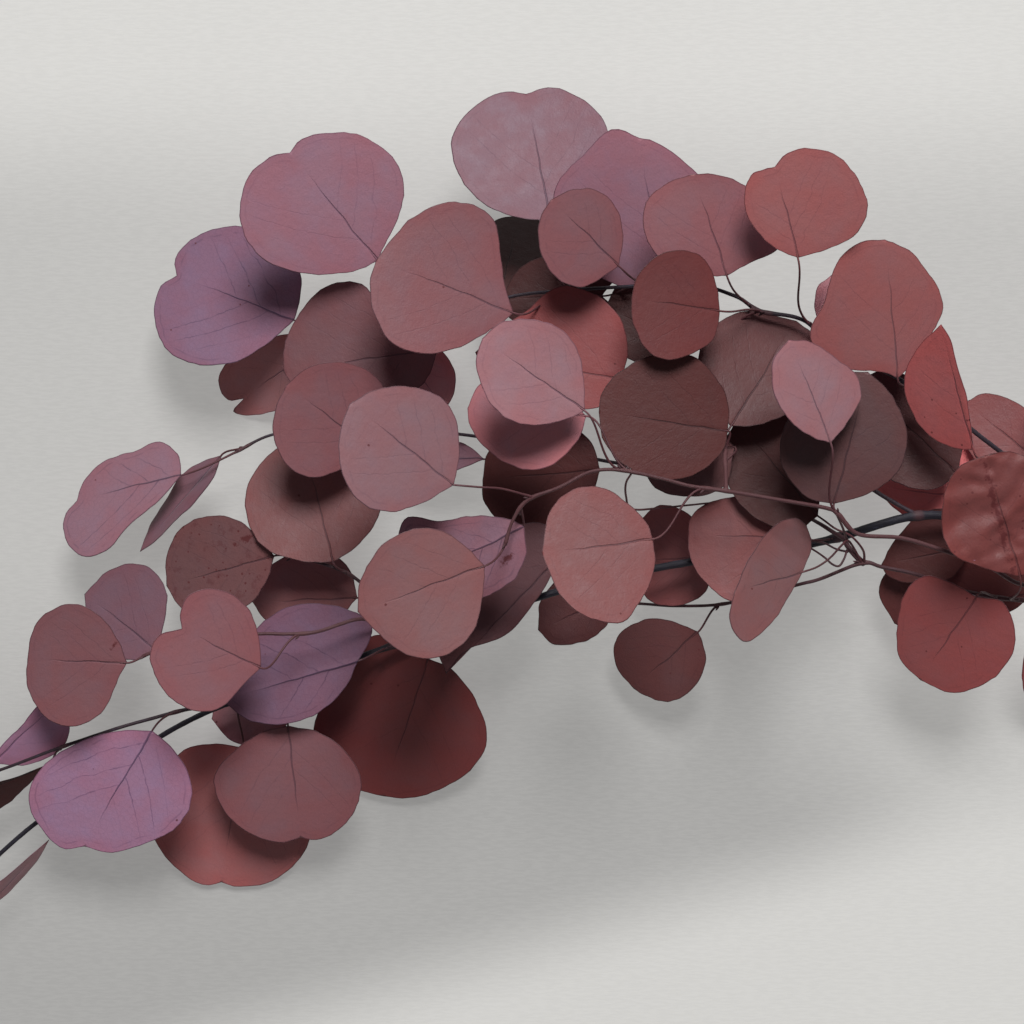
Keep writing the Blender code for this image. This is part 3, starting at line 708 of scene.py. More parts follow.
TIP_TWIG = Twig(
    "tip_twig",
    "main_stem",
    1.0 * MM,
    0.7 * MM,
    0.8,
    [
        (278, 688, 33), (240, 698, 35), (205, 707, 38), (184, 710, 42), (150, 719, 45), (115, 729, 46),
        (56, 749, 44), (0, 770, 39), (-50, 785, 34), (-76, 792, 32),
    ],
    [
        leaf(
            (152, 731, 52), (84, 847, 34),
            [(118, 731), (80, 741), (45, 764), (30, 794), (38, 823), (60, 848)],
            [(172, 748), (188, 772), (192, 800), (178, 826), (148, 843), (112, 853)],
            tone="lilac", shade=1.14, shows_underside=True,
        ),
        leaf(
            (-8, 764, 34), (64, 695, 48),
            [(2, 745), (20, 727), (42, 702)],
            [(28, 764), (60, 749), (70, 724)],
            roll=25, tone="lilac", shade=1.15,
        ),
        leaf(
            (46, 766, 34), (-55, 806, 25),
            [(18, 777), (-10, 784), (-40, 793)],
            [(25, 788), (-2, 808), (-38, 815)],
            roll=-35, tone="plum", shade=0.2,
        ),
        leaf(
            (-90, 798, 32), (-170, 850, 52),
            [(-122, 790), (-155, 800), (-178, 828)],
            [(-92, 832), (-112, 862), (-145, 868)],
            roll=12, tone="rose",
        ),
        leaf(
            (-92, 786, 32), (-176, 735, 18),
            [(-95, 752), (-118, 722), (-152, 715)],
            [(-122, 795), (-155, 788), (-178, 765)],
            roll=-12, tone="mauve",
        ),
    ],
)

TWIGS = [
    MAIN_STEM, UPPER_TWIG, BACK_TWIG, FRONT_TWIG, INNER_TWIG, LOWER_TWIG, SIDE_TWIG, LEFT_TWIG, TIP_TWIG,
]


def from_photo(place):
    """The point that the photograph shows at this column and row, at this height."""
    column, row, height = place
    nearer = (CAMERA_HEIGHT - height) / (CAMERA_HEIGHT - SCALE_HEIGHT)
    x = (column - PHOTO_MIDDLE) * nearer - (ORIGIN_COLUMN - PHOTO_MIDDLE)
    y = (PHOTO_MIDDLE - row) * nearer - (PHOTO_MIDDLE - ORIGIN_ROW)
    return Vector((x * MM_PER_PIXEL * MM, y * MM_PER_PIXEL * MM, height * MM))


def smooth_line(points, steps_of):
    """A smooth line through the points; steps_of gives the number of steps of each span."""
    before = [2 * points[0] - points[1], *points]
    after = [*points, 2 * points[-1] - points[-2]]
    line = [points[0]]
    for index in range(len(points) - 1):
        start, end = points[index], points[index + 1]
        leaving = (after[index + 1] - before[index]) / 6
        arriving = (after[index + 2] - before[index + 1]) / 6
        steps = steps_of((end - start).length)
        line += interpolate_bezier(start, start + leaving, end - arriving, end, steps + 1)[1:]
    return [Vector(point) for point in line]


def lengths_along(line):
    """How far along the line each of its points is."""
    lengths = [0.0]
    for start, end in zip(line, line[1:]):
        lengths.append(lengths[-1] + (end - start).length)
    return lengths


def point_along(line, distance):
    """The point of the line at this distance from its start."""
    lengths = lengths_along(line)
    index = 1
    while index < len(line) - 1 and lengths[index] < distance:
        index += 1
    share = (distance - lengths[index - 1]) / (lengths[index] - lengths[index - 1])
    return line[index - 1].lerp(line[index], min(max(share, 0.0), 1.0))


def evenly_along(line, count):
    """The points that split the line into count pieces of one length."""
    whole = lengths_along(line)[-1]
    return [point_along(line, whole * step / count) for step in range(count + 1)]


def nearest_distance(line, point):
    """How far along the line its nearest place to the point is."""
    lengths = lengths_along(line)
    found = []
    for index in range(len(line) - 1):
        spot, share = intersect_point_line(point, line[index], line[index + 1])
        share = min(max(share, 0.0), 1.0)
        gap = (line[index].lerp(line[index + 1], share) - point).length
        found.append((gap, lengths[index] + share * (lengths[index + 1] - lengths[index])))
    return min(found)[1]


def leaf_frame(one):
    """The leaf's own axes in the world: X from base to tip, Y across, Z out of its face."""
    base, tip = from_photo(one.base), from_photo(one.tip)
    along = (tip - base).normalized()
    up = Vector((0, 0, 1))
    normal = (up - along * up.dot(along)).normalized()
    normal = Matrix.Rotation(math.radians(one.roll), 3, along) @ normal
    across = normal.cross(along)
    axes = Matrix((along, across, normal)).transposed().to_4x4()
    return Matrix.Translation(base) @ axes


def on_blade(one, place, spot):
    """The point of the leaf's own plane that the photograph shows at this column and row."""
    low = from_photo((*spot, 0))
    sight = from_photo((*spot, 1)) - low
    normal = place.to_3x3().col[2]
    height = (place.translation - low).dot(normal) / sight.dot(normal)
    flat = place.inverted() @ (low + sight * height)
    return Vector((flat.x, flat.y, 0))


def leaf_character(twig, index):
    """What makes one leaf's surface differ from the next: its waves, its twist and its markings."""
    draw = Random(f"{twig.name} {index}")
    return {
        "phase": draw.uniform(0, 2 * math.pi),
        "twist": draw.uniform(-0.05, 0.05),
        "wave": draw.uniform(0.004, 0.012),
        "markings": draw.uniform(0, 50),
        "lightness": draw.uniform(0.95, 1.05),
        "vein_start": draw.uniform(0.0, 1.0),
    }


def screen_colour(red, green, blue, light=1.0):
    """The linear colour that shows on screen as these amounts, 0 to 255, under this much light."""
    amounts = [amount / 255 for amount in (red, green, blue)]
    linear = [
        amount / 12.92 if amount <= 0.04045 else ((amount + 0.055) / 1.055) ** 2.4 for amount in amounts
    ]
    return tuple(amount / light for amount in linear)


# How much of a colour's own brightness the stage's light gives back to a level leaf.
STAGE_LIGHT = 0.78


def colour_property(name, description, red, green, blue):
    """A colour that a user may change, which starts as these amounts show on screen."""
    return FloatVectorProperty(
        name=name, description=description, subtype="COLOR", size=3, min=0.0, max=1.0,
        default=screen_colour(red, green, blue, STAGE_LIGHT),
    )


def cast_property(name, description, red, green, blue):
    """A cast that a colour is multiplied by."""
    return FloatVectorProperty(
        name=name, description=description, subtype="COLOR", size=3, min=0.0, max=2.0,
        default=(red, green, blue),
    )


def length_property(name, description, metres):
    """A length that a user may change."""
    return FloatProperty(name=name, description=description, default=metres, unit="LENGTH")


def share_property(name, description, share):
    """A share that a user may change."""
    return FloatProperty(name=name, description=description, default=share, subtype="FACTOR")


def count_property(name, description, count, least):
    """A number of sides or steps that a user may change."""
    return IntProperty(name=name, description=description, default=count, min=least)


def place_property(name, description, place):
    """A place that a user may change."""
    return FloatVectorProperty(name=name, description=description, default=place, subtype="TRANSLATION")


class LeafSettings(PropertyGroup):
    thickness: length_property("Thickness", "Thickness of a blade at its middle", 0.45 * MM)
    rows: count_property("Rows", "Steps of a blade from its base to its tip", 38, 8)
    rib_height: length_property("Rib height", "How far the midrib stands out of the underside", 0.35 * MM)
    rib_width: length_property("Rib width", "Half the width of the midrib", 0.7 * MM)
    pleat_height: length_property("Pleat height", "How far a blade swells between veins", 0.03 * MM)
    nibble: length_property("Nibble", "How far the rim wanders in and out", 0.45 * MM)
    pink: colour_property("Pink", "The palest dyed leaves", 156, 114, 120)
    rose: colour_property("Rose", "Most of the dyed leaves", 140, 93, 98)
    mauve: colour_property("Mauve", "Bluer, greyer leaves", 146, 106, 119)
    clay: colour_property("Clay", "Leaves between rose and brick", 138, 84, 84)
    brick: colour_property("Brick", "The reddest leaves", 144, 75, 75)
    umber: colour_property("Umber", "Brown leaves", 120, 82, 83)
    plum: colour_property("Plum", "Dark red leaves", 118, 62, 60)
    lilac: colour_property("Lilac", "The pale undersides", 146, 108, 132)
    patch_cast: cast_property("Patch cast", "Turns a leaf redder in patches", 1.05, 0.86, 0.84)
    bloom_cast: cast_property("Bloom cast", "Turns a leaf greyer where its wax is thick", 0.94, 1.10, 1.16)
    vein_cast: cast_property("Vein cast", "Darkens a leaf along its veins", 0.34, 0.34, 0.46)
    rim_cast: cast_property("Rim cast", "Darkens a leaf at its rim", 0.28, 0.22, 0.30)
    speck_colour: colour_property("Speck colour", "Brown specks and stains", 78, 26, 28)


class StemSettings(PropertyGroup):
    sides: count_property("Sides", "Sides of a stem's section", 18, 6)
    step: length_property("Step", "Distance between a stem's sections", 1.4 * MM)
    stalk_sides: count_property("Stalk sides", "Sides of a leaf stalk's section", 12, 5)
    stalk_steps: count_property("Stalk steps", "Sections of a leaf stalk", 22, 6)
    swelling: share_property("Swelling", "How much thicker a stem is where a stalk leaves it", 0.3)
    slimness: share_property("Slimness", "A side twig's thickness as a share of the solid model's", 0.8)
    stalk_radius: length_property("Stalk radius", "Radius of a leaf stalk", 0.48 * MM)
    ridge: share_property("Ridge", "Depth of the bark's wrinkles as a share of the radius", 0.07)
    bark_colour: colour_property("Bark", "Old bark of the main stem", 30, 27, 36)
    bloom_colour: colour_property("Bark bloom", "Bluish bloom on the old bark", 62, 66, 84)
    twig_colour: colour_property("Twig", "Young bark of the thin stems", 84, 50, 52)
    stalk_colour: colour_property("Stalk", "Leaf stalks near the stem", 78, 42, 46)
    wood_colour: colour_property("Cut wood", "Wood of the cut end", 176, 148, 116)


class StageSettings(PropertyGroup):
    floor_colour: colour_property("Table", "The pale table", 132, 131, 129)
    # Painted light: the table glows with this colour, though it is no lamp, so that its shadows stay
    # light.
    floor_painted_glow: FloatVectorProperty(
        name="Table glow", description="The room's light that the shadows on the table still hold",
        subtype="COLOR", size=3, min=0.0, max=1.0, default=screen_colour(174, 173, 170),
    )
    floor_side: length_property("Table side", "Side of the table", 6.0)
    key_power: FloatProperty(name="Key light", description="Power of the window light", default=89.0)
    key_side: length_property("Key light side", "Side of the window light", 1.1)
    key_place: place_property("Key light place", "Where the window light stands", (0.15, 1.7, 2.5))
    fill_power: FloatProperty(name="Fill light", description="Power of the soft fill light", default=1.0)
    fill_place: place_property("Fill light place", "Where the fill light stands", (-1.1, -0.9, 1.4))
    sky_strength: FloatProperty(
        name="Room light", description="Strength of the room's even light", default=0.1
    )


# The sockets of a Mix node that mixes colours.
MIX_FACTOR, MIX_FIRST, MIX_SECOND, MIX_RESULT = 0, 6, 7, 2


class Wire:
    """A shader socket that Python's operators work on: each of them adds its Math node."""

    def __init__(self, finish, socket):
        self.finish = finish
        self.socket = socket

    def maths(self, operation, *values):
        return self.finish.add("ShaderNodeMath", {"operation": operation}, dict(enumerate(values)))

    def __add__(self, other):
        return self.maths("ADD", self, other)

    def __sub__(self, other):
        return self.maths("SUBTRACT", self, other)

    def __rsub__(self, other):
        return self.maths("SUBTRACT", other, self)

    def __mul__(self, other):
        return self.maths("MULTIPLY", self, other)

    def __truediv__(self, other):
        return self.maths("DIVIDE", self, other)

    def __abs__(self):
        return self.maths("ABSOLUTE", self)

    __radd__ = __add__
    __rmul__ = __mul__

    def most(self, other):
        return self.maths("MAXIMUM", self, other)

    def above(self, level):
        return self.maths("GREATER_THAN", self, level)

    def fraction(self):
        return self.maths("FRACT", self)

    def root(self):
        return self.maths("SQRT", self)

    def sine(self):
        return self.maths("SINE", self)

    def parts(self):
        """The three numbers of a vector."""
        split = self.finish.add("ShaderNodeSeparateXYZ", {}, {0: self})
        return [Wire(self.finish, socket) for socket in split.socket.node.outputs]

    def rises(self, low, high):
        """0 up to low and 1 from high on, with a smooth slope between them."""
        return self.finish.add(
            "ShaderNodeMapRange",
            {"interpolation_type": "SMOOTHSTEP"},
            {"Value": self, "From Min": low, "From Max": high},
        )

    def falls(self, low, high):
        """1 up to low and 0 from high on, with a smooth slope between them."""
        return 1 - self.rises(low, high)

    def mixes(self, first, second, blend="MIX"):
        """The first colour where this is 0 and the second where it is 1."""
        return self.finish.add(
            "ShaderNodeMix",
            {"data_type": "RGBA", "blend_type": blend},
            {MIX_FACTOR: self, MIX_FIRST: first, MIX_SECOND: second},
            MIX_RESULT,
        )

    def casts(self, colour, cast):
        """The colour where this is 0, and the colour times the cast where it is 1."""
        return self.mixes(colour, cast, "MULTIPLY")


class Finish:
    """A material, and the one way that nodes are added to it."""

    def __init__(self, name):
        self.material = bpy.data.materials.new(name)
        self.material.use_nodes = True
        self.tree = self.material.node_tree
        self.tree.nodes.clear()

    def add(self, kind, settings, inputs, output=0):
        """A node of this kind. Its settings are set first, then the values or links of its sockets."""
        node = self.tree.nodes.new(kind)
        for setting, value in settings.items():
            setattr(node, setting, value)
        for name, value in inputs.items():
            socket = node.inputs[name]
            if isinstance(value, Wire):
                self.tree.links.new(value.socket, socket)
            elif socket.type == "RGBA":
                socket.default_value = (*value[:3], 1.0)
            else:
                socket.default_value = value
        return Wire(self, node.outputs[output]) if node.outputs else None

    def reading(self, name, output="Vector"):
        """What the mesh says under this name at each point."""
        settings = {"attribute_type": "GEOMETRY", "attribute_name": name}
        return self.add("ShaderNodeAttribute", settings, {}, output)

    def vector(self, x, y, z):
        return self.add("ShaderNodeCombineXYZ", {}, {0: x, 1: y, 2: z})

    def clouds(self, place, scale, detail=2.0, roughness=0.5, dimensions="2D"):
        """Soft irregular patches, from 0 to 1."""
        return self.add(
            "ShaderNodeTexNoise",
            {"noise_dimensions": dimensions},
            {"Vector": place, "Scale": scale, "Detail": detail, "Roughness": roughness},
        )

    def solid_clouds(self, x, y, z, scale=1.0, detail=3.0, roughness=0.6):
        """Soft irregular patches through a stem or a stalk, from 0 to 1."""
        return self.clouds(self.vector(x, y, z), scale, detail, roughness, "3D")

    def cells(self, place, scale, feature="F1", output="Distance"):
        """A pattern of irregular cells."""
        return self.add(
            "ShaderNodeTexVoronoi",
            {"voronoi_dimensions": "2D", "feature": feature},
            {"Vector": place, "Scale": scale},
            output,
        )

    def surface(self, colour, roughness, height, relief, fixed):
        """Ends the material: relief is the height's size in metres, fixed the other sockets' values."""
        bump = self.add("ShaderNodeBump", {}, {"Strength": 1.0, "Distance": relief, "Height": height})
        inputs = {"Base Color": colour, "Roughness": roughness, "Normal": bump, **fixed}
        shader = self.add("ShaderNodeBsdfPrincipled", {}, inputs)
        self.add("ShaderNodeOutputMaterial", {}, {"Surface": shader})
        return self.material


def leaf_finish(settings):
    """Dyed leaf: mottled, with a dark rim, a midrib, bent side veins, brown specks and stains."""
    finish = Finish("dyed_leaf")
    x, y, gap = finish.reading("leaf_place").parts()
    length, markings, wear = finish.reading("leaf_growth").parts()
    stain_x, stain_y, stained = finish.reading("leaf_stain").parts()
    tint = finish.reading("leaf_tint", "Color")
    underside = finish.reading("leaf_tint", "Alpha")
    place = finish.vector(x + markings * 90, y + markings * 37, 0.0)
    wander = finish.clouds(place, 0.09, 1.0) - 0.5
    waver = finish.clouds(place, 0.35, 2.0) - 0.5

    # The midrib, which thins out towards the tip.
    along = x / length
    across = abs(y + wander * 1.5)
    half_width = 0.55 - 0.36 * along
    midrib = across.falls(half_width * 0.35, half_width) * along.falls(0.5, 0.86)

    # The side veins, bent towards the tip, and the vein that runs inside the rim.
    start = x - VEIN_SLANT * across - VEIN_BEND * across * across / length
    turns = (start + waver * 1.6 + wander * 3.0) / (length * VEIN_SPACING) + VEIN_STAGGER * y.above(0.0)
    offset = abs(turns.fraction() - 0.5) * length * VEIN_SPACING
    from_base = start / length
    reach = from_base.rises(-0.02, 0.05) * from_base.falls(0.42, 0.66) * gap.rises(0.5, 8.0)
    broken = finish.clouds(place, 0.16, 1.0).rises(0.34, 0.6)
    side_veins = offset.falls(0.05, 0.55) * reach * (0.5 + 0.5 * broken)
    rim_vein = abs(gap - 2.6 - 3.0 * wander).falls(0.1, 0.45) * broken * along.rises(0.1, 0.3)
    net = finish.cells(place, 0.42, "DISTANCE_TO_EDGE").falls(0.02, 0.1)

    # The dye: redder patches, a bluish bloom, a redder edge and a fine grain.
    patches = finish.clouds(place, 0.045, 2.0).rises(0.38, 0.66)
    bloom = finish.clouds(place, 0.11, 4.0, 0.6).rises(0.35, 0.75)
    grain = finish.clouds(place, 1.3, 3.0, 0.65) - 0.5
    colour = (patches * 0.65).casts(tint, settings.patch_cast)
    colour = (bloom * 0.55).casts(colour, settings.bloom_cast)
    colour = (gap.falls(0.5, 7.0) * 0.45).casts(colour, settings.patch_cast)
    colour = (grain.rises(0.0, 0.3) * 0.14).casts(colour, settings.vein_cast)

    # Veins are darker and greyer than the dye, and clearest on the underside.
    veins = midrib * (0.62 + 0.25 * underside)
    veins = veins.most(side_veins * (0.24 + 0.42 * underside))
    veins = veins.most(rim_vein * (0.16 + 0.2 * underside))
    veins = veins.most(net * (0.05 + 0.07 * underside))
    colour = veins.casts(colour, settings.vein_cast)

    # Brown specks, a stain where the leaf has one, and the dark line of the rim.
    chance = finish.cells(place, 0.3, "F1", "Color").parts()[0]
    specks = (finish.cells(place, 0.3) + 0.2 * waver).falls(0.06, 0.16) * (1 - chance.above(wear))
    scorch = finish.clouds(place, 0.22, 3.0, 0.7).rises(0.54, 0.72) * wear * 1.2
    from_stain = (stain_x * stain_x + stain_y * stain_y).root()
    stain = (from_stain + waver * 2.6 + grain * 1.6).falls(0.3, 1.1) * stained
    marks = (specks * 0.8).most(scorch).most(stain * 0.85)
    colour = marks.mixes(colour, settings.speck_colour)
    colour = (gap.falls(0.1, 0.5) * 0.7).casts(colour, settings.rim_cast)

    roughness = 0.56 + 0.1 * grain - 0.08 * bloom + 0.1 * underside + 0.12 * marks
    ridges = (2 * underside - 1) * (0.2 * midrib + 0.03 * side_veins)
    height = ridges + 0.07 * grain + 0.12 * waver
    fixed = {"Specular IOR Level": 0.32, "Sheen Weight": 0.12, "Sheen Roughness": 0.5}
    return finish.surface(colour, roughness, height, MM, fixed)


class Shell:
    """A piece under construction: its points, its faces, and what its finish reads at each point."""

    def __init__(self, name):
        self.name = name
        self.points = []
        self.faces = []
        self.readings = {}

    def add(self, place, **readings):
        """Adds a point and returns its number."""
        for name, value in readings.items():
            self.readings.setdefault(name, []).append(value)
        self.points.append(place)
        return len(self.points) - 1

    def strip(self, one, other, closed=False):
        """Faces between two rows of points."""
        count = len(one) if closed else len(one) - 1
        for index in range(count):
            following = (index + 1) % len(one)
            self.faces.append((one[index], one[following], other[following], other[index]))

    def fan(self, row, tip, closed=False):
        """Faces between a row of points and one point."""
        count = len(row) if closed else len(row) - 1
        for index in range(count):
            self.faces.append((row[index], row[(index + 1) % len(row)], tip))

    def made(self, material, node, slot):
        """The piece itself, riding where the twig that it stands for is."""
        mesh = bpy.data.meshes.new(self.name)
        mesh.from_pydata(self.points, [], self.faces)
        for name, values in self.readings.items():
            kind, field = ("FLOAT_COLOR", "color") if len(values[0]) == 4 else ("FLOAT_VECTOR", "vector")
            reading = mesh.attributes.new(name, kind, "POINT")
            reading.data.foreach_set(field, np.array(values, np.float32).ravel())
        mesh.materials.append(material)
        mesh.shade_smooth()
        made = bpy.data.objects.new(self.name, mesh)
        bpy.context.scene.collection.objects.link(made)
        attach(made, "root")
        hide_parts(node)


def blade_height(one, character, x, y, length, breadth, share):
    """How far the blade's surface stands off its own plane at this point, as in the solid model."""
    if one.cup == 0 and one.bend == 0:
        return 0.0
    along = x / length
    rise = one.cup * breadth * (y / breadth) ** 2
    drop = one.bend * length * (along - 0.35) ** 2
    angle = math.atan2(y, x - length / 2)
    from_base = min(max(2 * along, 0.0), 1.0)
    ripple = character["wave"] * length * share**3 * from_base * math.sin(2 * angle + character["phase"])
    turn = character["twist"] * y * along
    return rise - drop + ripple + turn


class Blade:
    """One leaf blade: its outline in its own plane, and its surface over that plane."""

    def __init__(self, one, character, settings):
        self.one = one
        self.character = character
        self.settings = settings
        self.place = leaf_frame(one)
        self.length = (from_photo(one.tip) - from_photo(one.base)).length
        self.sides = self.edges()
        self.rim = self.sides[0][:-1] + self.sides[1][:0:-1]
        self.breadth = max(abs(spot.y) for spot in self.rim)

    def edges(self):
        """The two edges from base to tip, the one at the right hand first, each a little nibbled."""
        sides = []
        for edge in self.one.edges:
            spots = [on_blade(self.one, self.place, spot) for spot in edge]
            ends = Vector((0, 0, 0)), Vector((self.length, 0, 0))
            line = smooth_line([ends[0], *spots, ends[1]], lambda span: SMOOTH_STEPS)
            sides.append(evenly_along(line, self.settings.rows))
        sides.sort(key=lambda side: sum(spot.y for spot in side))
        middle = Vector((self.length / 2, 0, 0))
        for side in sides:
            for spot in side[2:-2]:
                draw = noise.noise(Vector((spot.x, spot.y, self.character["markings"] * MM)) * 260)
                spot += (spot - middle).normalized() * draw * self.settings.nibble
        return sides

    def row(self, step):
        """The spots of one row across the blade, and how far across each of them is."""
        middle = Vector((self.length * step / self.settings.rows, 0, 0))
        near, far = self.sides[0][step], self.sides[1][step]
        spots = [(middle.lerp(near, share), -share) for share in reversed(ACROSS[1:])]
        return spots + [(middle.lerp(far, share), share) for share in ACROSS]

    def height(self, x, y, share):
        """The surface's height: the solid model's form, the swelling between veins, and creases."""
        height = blade_height(self.one, self.character, x, y, self.length, self.breadth, share)
        start = x - VEIN_SLANT * abs(y) - VEIN_BEND * y * y / self.length
        turns = start / (self.length * VEIN_SPACING) + (VEIN_STAGGER if y > 0 else 0.0)
        swell = min(abs(y) / (0.3 * self.breadth), 1.0) * (1.0 - share**4)
        height -= self.settings.pleat_height * math.cos(2 * math.pi * turns) * swell
        if self.one.crumple:
            spot = Vector((x, y, self.character["markings"] * MM)) * 70
            folds = 2 - abs(noise.noise(spot)) * 4 - abs(noise.noise(spot * 2.3)) * 2
            height += self.one.crumple * MM * folds * min(5 * x / self.length, 1.0)
        return height

    def spot(self, x, y, share):
        """The middle of the blade's thickness at this spot, and the way out of its face, in the world."""
        reach = 0.4 * MM
        height = self.height(x, y, share)
        slope_x = (self.height(x + reach, y, share) - height) / reach
        slope_y = (self.height(x, y + reach, share) - height) / reach
        normal = Vector((-slope_x, -slope_y, 1)).normalized()
        return self.place @ Vector((x, y, height)), self.place.to_3x3() @ normal

    def rib(self, x, y):
        """How much of the midrib is at this spot, from 0 to 1."""
        along = min(max(x / self.length, 0.0), 1.0)
        return math.exp(-((y / self.settings.rib_width) ** 2)) * (1 - along)


def gaps_to_rim(spots, rim):
    """How far each spot is from the nearest part of the blade's rim."""
    ends = np.array([spot.xy for spot in rim])
    starts = np.roll(ends, 1, axis=0)
    spans = ends - starts
    offsets = np.array([spot.xy for spot in spots])[:, None] - starts
    shares = np.clip((offsets * spans).sum(-1) / (spans * spans).sum(-1), 0, 1)
    return np.linalg.norm(offsets - shares[..., None] * spans, axis=2).min(1)


def tint(settings, one, character, underside):
    """The colour of one face of a leaf, with how far it is an underside."""
    if underside == one.shows_underside:
        tone = getattr(settings, one.tone)
    else:
        tone = settings.lilac if underside else settings.rose
    # The shade scales the tone: partly the dye's own depth, partly painted light and shade, darker on
    # leaves that lie in the shadow of others and lighter on a few.
    return (*(amount * one.shade * character["lightness"] for amount in tone), float(underside))


def stain_frame(blade):
    """Gives a spot's place in the leaf's stain: 1 away from its middle is the stain's edge."""
    if not blade.one.stain:
        return lambda flat: (0.0, 0.0, 0.0)
    start, end, reach = blade.one.stain
    start, end = (on_blade(blade.one, blade.place, spot) for spot in (start, end))
    middle, along = (start + end) / 2, (end - start).normalized()
    across = Vector((-along.y, along.x, 0))
    half_length = (end - start).length / 2 + reach * MM

    def place(flat):
        away = flat - middle
        return away.dot(along) / half_length, away.dot(across) / (reach * MM), 1.0

    return place


def add_blade(shell, twig, index, settings):
    """Adds one leaf blade to its twig's blades: two faces, thinner towards a rounded rim."""
    one = twig.leaves[index]
    character = leaf_character(twig, index)
    blade = Blade(one, character, settings)
    rows = [blade.row(step) for step in range(1, settings.rows)]
    ends = Vector((0, 0, 0)), Vector((blade.length, 0, 0))
    flats = [*ends, *(spot for row in rows for spot, share in row)]
    gaps = dict(zip(map(id, flats), gaps_to_rim(flats, blade.rim)))
    growth = (blade.length / MM, character["markings"], one.wear)
    stain = stain_frame(blade)

    def point(flat, across, step, facing):
        """facing is 1 for the upper face, -1 for the lower one and 0 for the rim between them."""
        through = step / settings.rows
        share = 1 - (1 - abs(across)) * 4 * through * (1 - through)
        middle, normal = blade.spot(flat.x, flat.y, share)
        underside = one.shows_underside if facing >= 0 else not one.shows_underside
        thinning = 1 - (1 - RIM_THINNING) * max((share - 0.75) / 0.25, 0.0)
        stand = facing * settings.thickness / 2 * thinning
        rib = blade.rib(flat.x, flat.y) * settings.rib_height * abs(facing)
        stand += (facing if underside else -0.4 * facing) * rib
        gap = 0.0 if facing == 0 else gaps[id(flat)] / MM
        place = middle + normal * stand
        place.z = max(place.z, (2 + facing) * TABLE_GAP)
        return shell.add(
            place,
            leaf_place=(flat.x / MM, flat.y / MM, gap),
            leaf_growth=growth,
            leaf_stain=stain(flat),
            leaf_tint=tint(settings, one, character, underside),
        )

    loops = []
    for facing in (1, 0, -1):
        base = point(ends[0], 1.0, 0, facing)
        tip = point(ends[1], 1.0, settings.rows, facing)
        if facing == 0:
            near = [point(row[0][0], 1.0, step, 0) for step, row in enumerate(rows, 1)]
            far = [point(row[-1][0], 1.0, step, 0) for step, row in enumerate(rows, 1)]
            loops.append([base, *near, tip, *reversed(far)])
            continue
        grid = [
            [point(spot, across, step, facing) for spot, across in row] for step, row in enumerate(rows, 1)
        ]
        loops.append([base, *(row[0] for row in grid), tip, *(row[-1] for row in reversed(grid))])
        if facing < 0:
            grid = [list(reversed(row)) for row in grid]
        for row, following in zip(grid, grid[1:]):
            shell.strip(following, row)
        shell.fan(list(reversed(grid[-1])), tip)
        shell.fan(grid[0], base)
    upper, rim, lower = loops
    shell.strip(rim, upper, closed=True)
    shell.strip(lower, rim, closed=True)


def rings_along(line):
    """Two directions square to the line at each of its points, which turn as little as they can."""
    rings = []
    side = None
    for index in range(len(line)):
        ahead = (line[min(index + 1, len(line) - 1)] - line[max(index - 1, 0)]).normalized()
        side = ahead.orthogonal() if side is None else side - ahead * side.dot(ahead)
        side = side.normalized()
        rings.append((side, ahead.cross(side), ahead))
    return rings


def tapered(lengths, root_radius, tip_radius):
    """The radius at each of these lengths of a stem that thins out from its root to its tip."""
    return [root_radius + (tip_radius - root_radius) * length / lengths[-1] for length in lengths]


def add_tube(shell, line, radii, sides, readings, wrinkle=0.0, blunt_start=False):
    """Adds a round tube along the line. readings gives a point's readings from its section,
    its two offsets from the middle and its share of the way out to the surface."""
    rings = rings_along(line)
    lengths = lengths_along(line)
    angles = [2 * math.pi * turn / sides for turn in range(sides)]
    corners = [(math.cos(angle), math.sin(angle)) for angle in angles]
    rows = []
    for section, (middle, radius, (side, up, ahead)) in enumerate(zip(line, radii, rings)):
        row = []
        for across, above in corners:
            spot = Vector((across * 1.6, above * 1.6, lengths[section] / WRINKLE_LENGTH))
            rough = 1 + wrinkle * (noise.noise(spot) + 0.5 * noise.noise(spot * 3.1))
            out = radius * rough
            place = middle + (side * across + up * above) * out
            place.z = max(place.z, TABLE_GAP)
            row.append(shell.add(place, **readings(section, across * out, above * out, 1.0)))
        rows.append(row)
    for row, following in zip(rows, rows[1:]):
        shell.strip(row, following, closed=True)
    last = len(line) - 1
    tip = shell.add(line[-1] + rings[-1][2] * radii[-1] * TUBE_END, **readings(last, 0.0, 0.0, 1.0))
    shell.fan(rows[-1], tip, closed=True)
    if blunt_start:
        edge = []
        for across, above in corners:
            place = line[0] + (rings[0][0] * across + rings[0][1] * above) * radii[0] * CUT_EDGE
            place.z = max(place.z, TABLE_GAP)
            edge.append(shell.add(place, **readings(0, 0.0, 0.0, 0.9)))
        shell.strip(edge, rows[0], closed=True)
        root = shell.add(line[0], **readings(0, 0.0, 0.0, 0.0))
        shell.fan(list(reversed(edge)), root, closed=True)
    else:
        root = shell.add(line[0] - rings[0][2] * radii[0] * TUBE_END, **readings(0, 0.0, 0.0, 1.0))
        shell.fan(list(reversed(rows[0])), root, closed=True)


def stem_line(twig, lines, step):
    """The twig's stem line, which starts on the line of the stem that carries it."""
    route = [from_photo(place) for place in twig.route]
    if twig.parent:
        carrier = lines[twig.parent]
        route[0] = point_along(carrier, nearest_distance(carrier, route[0]))
    return smooth_line(route, lambda span: max(2, round(span / step)))


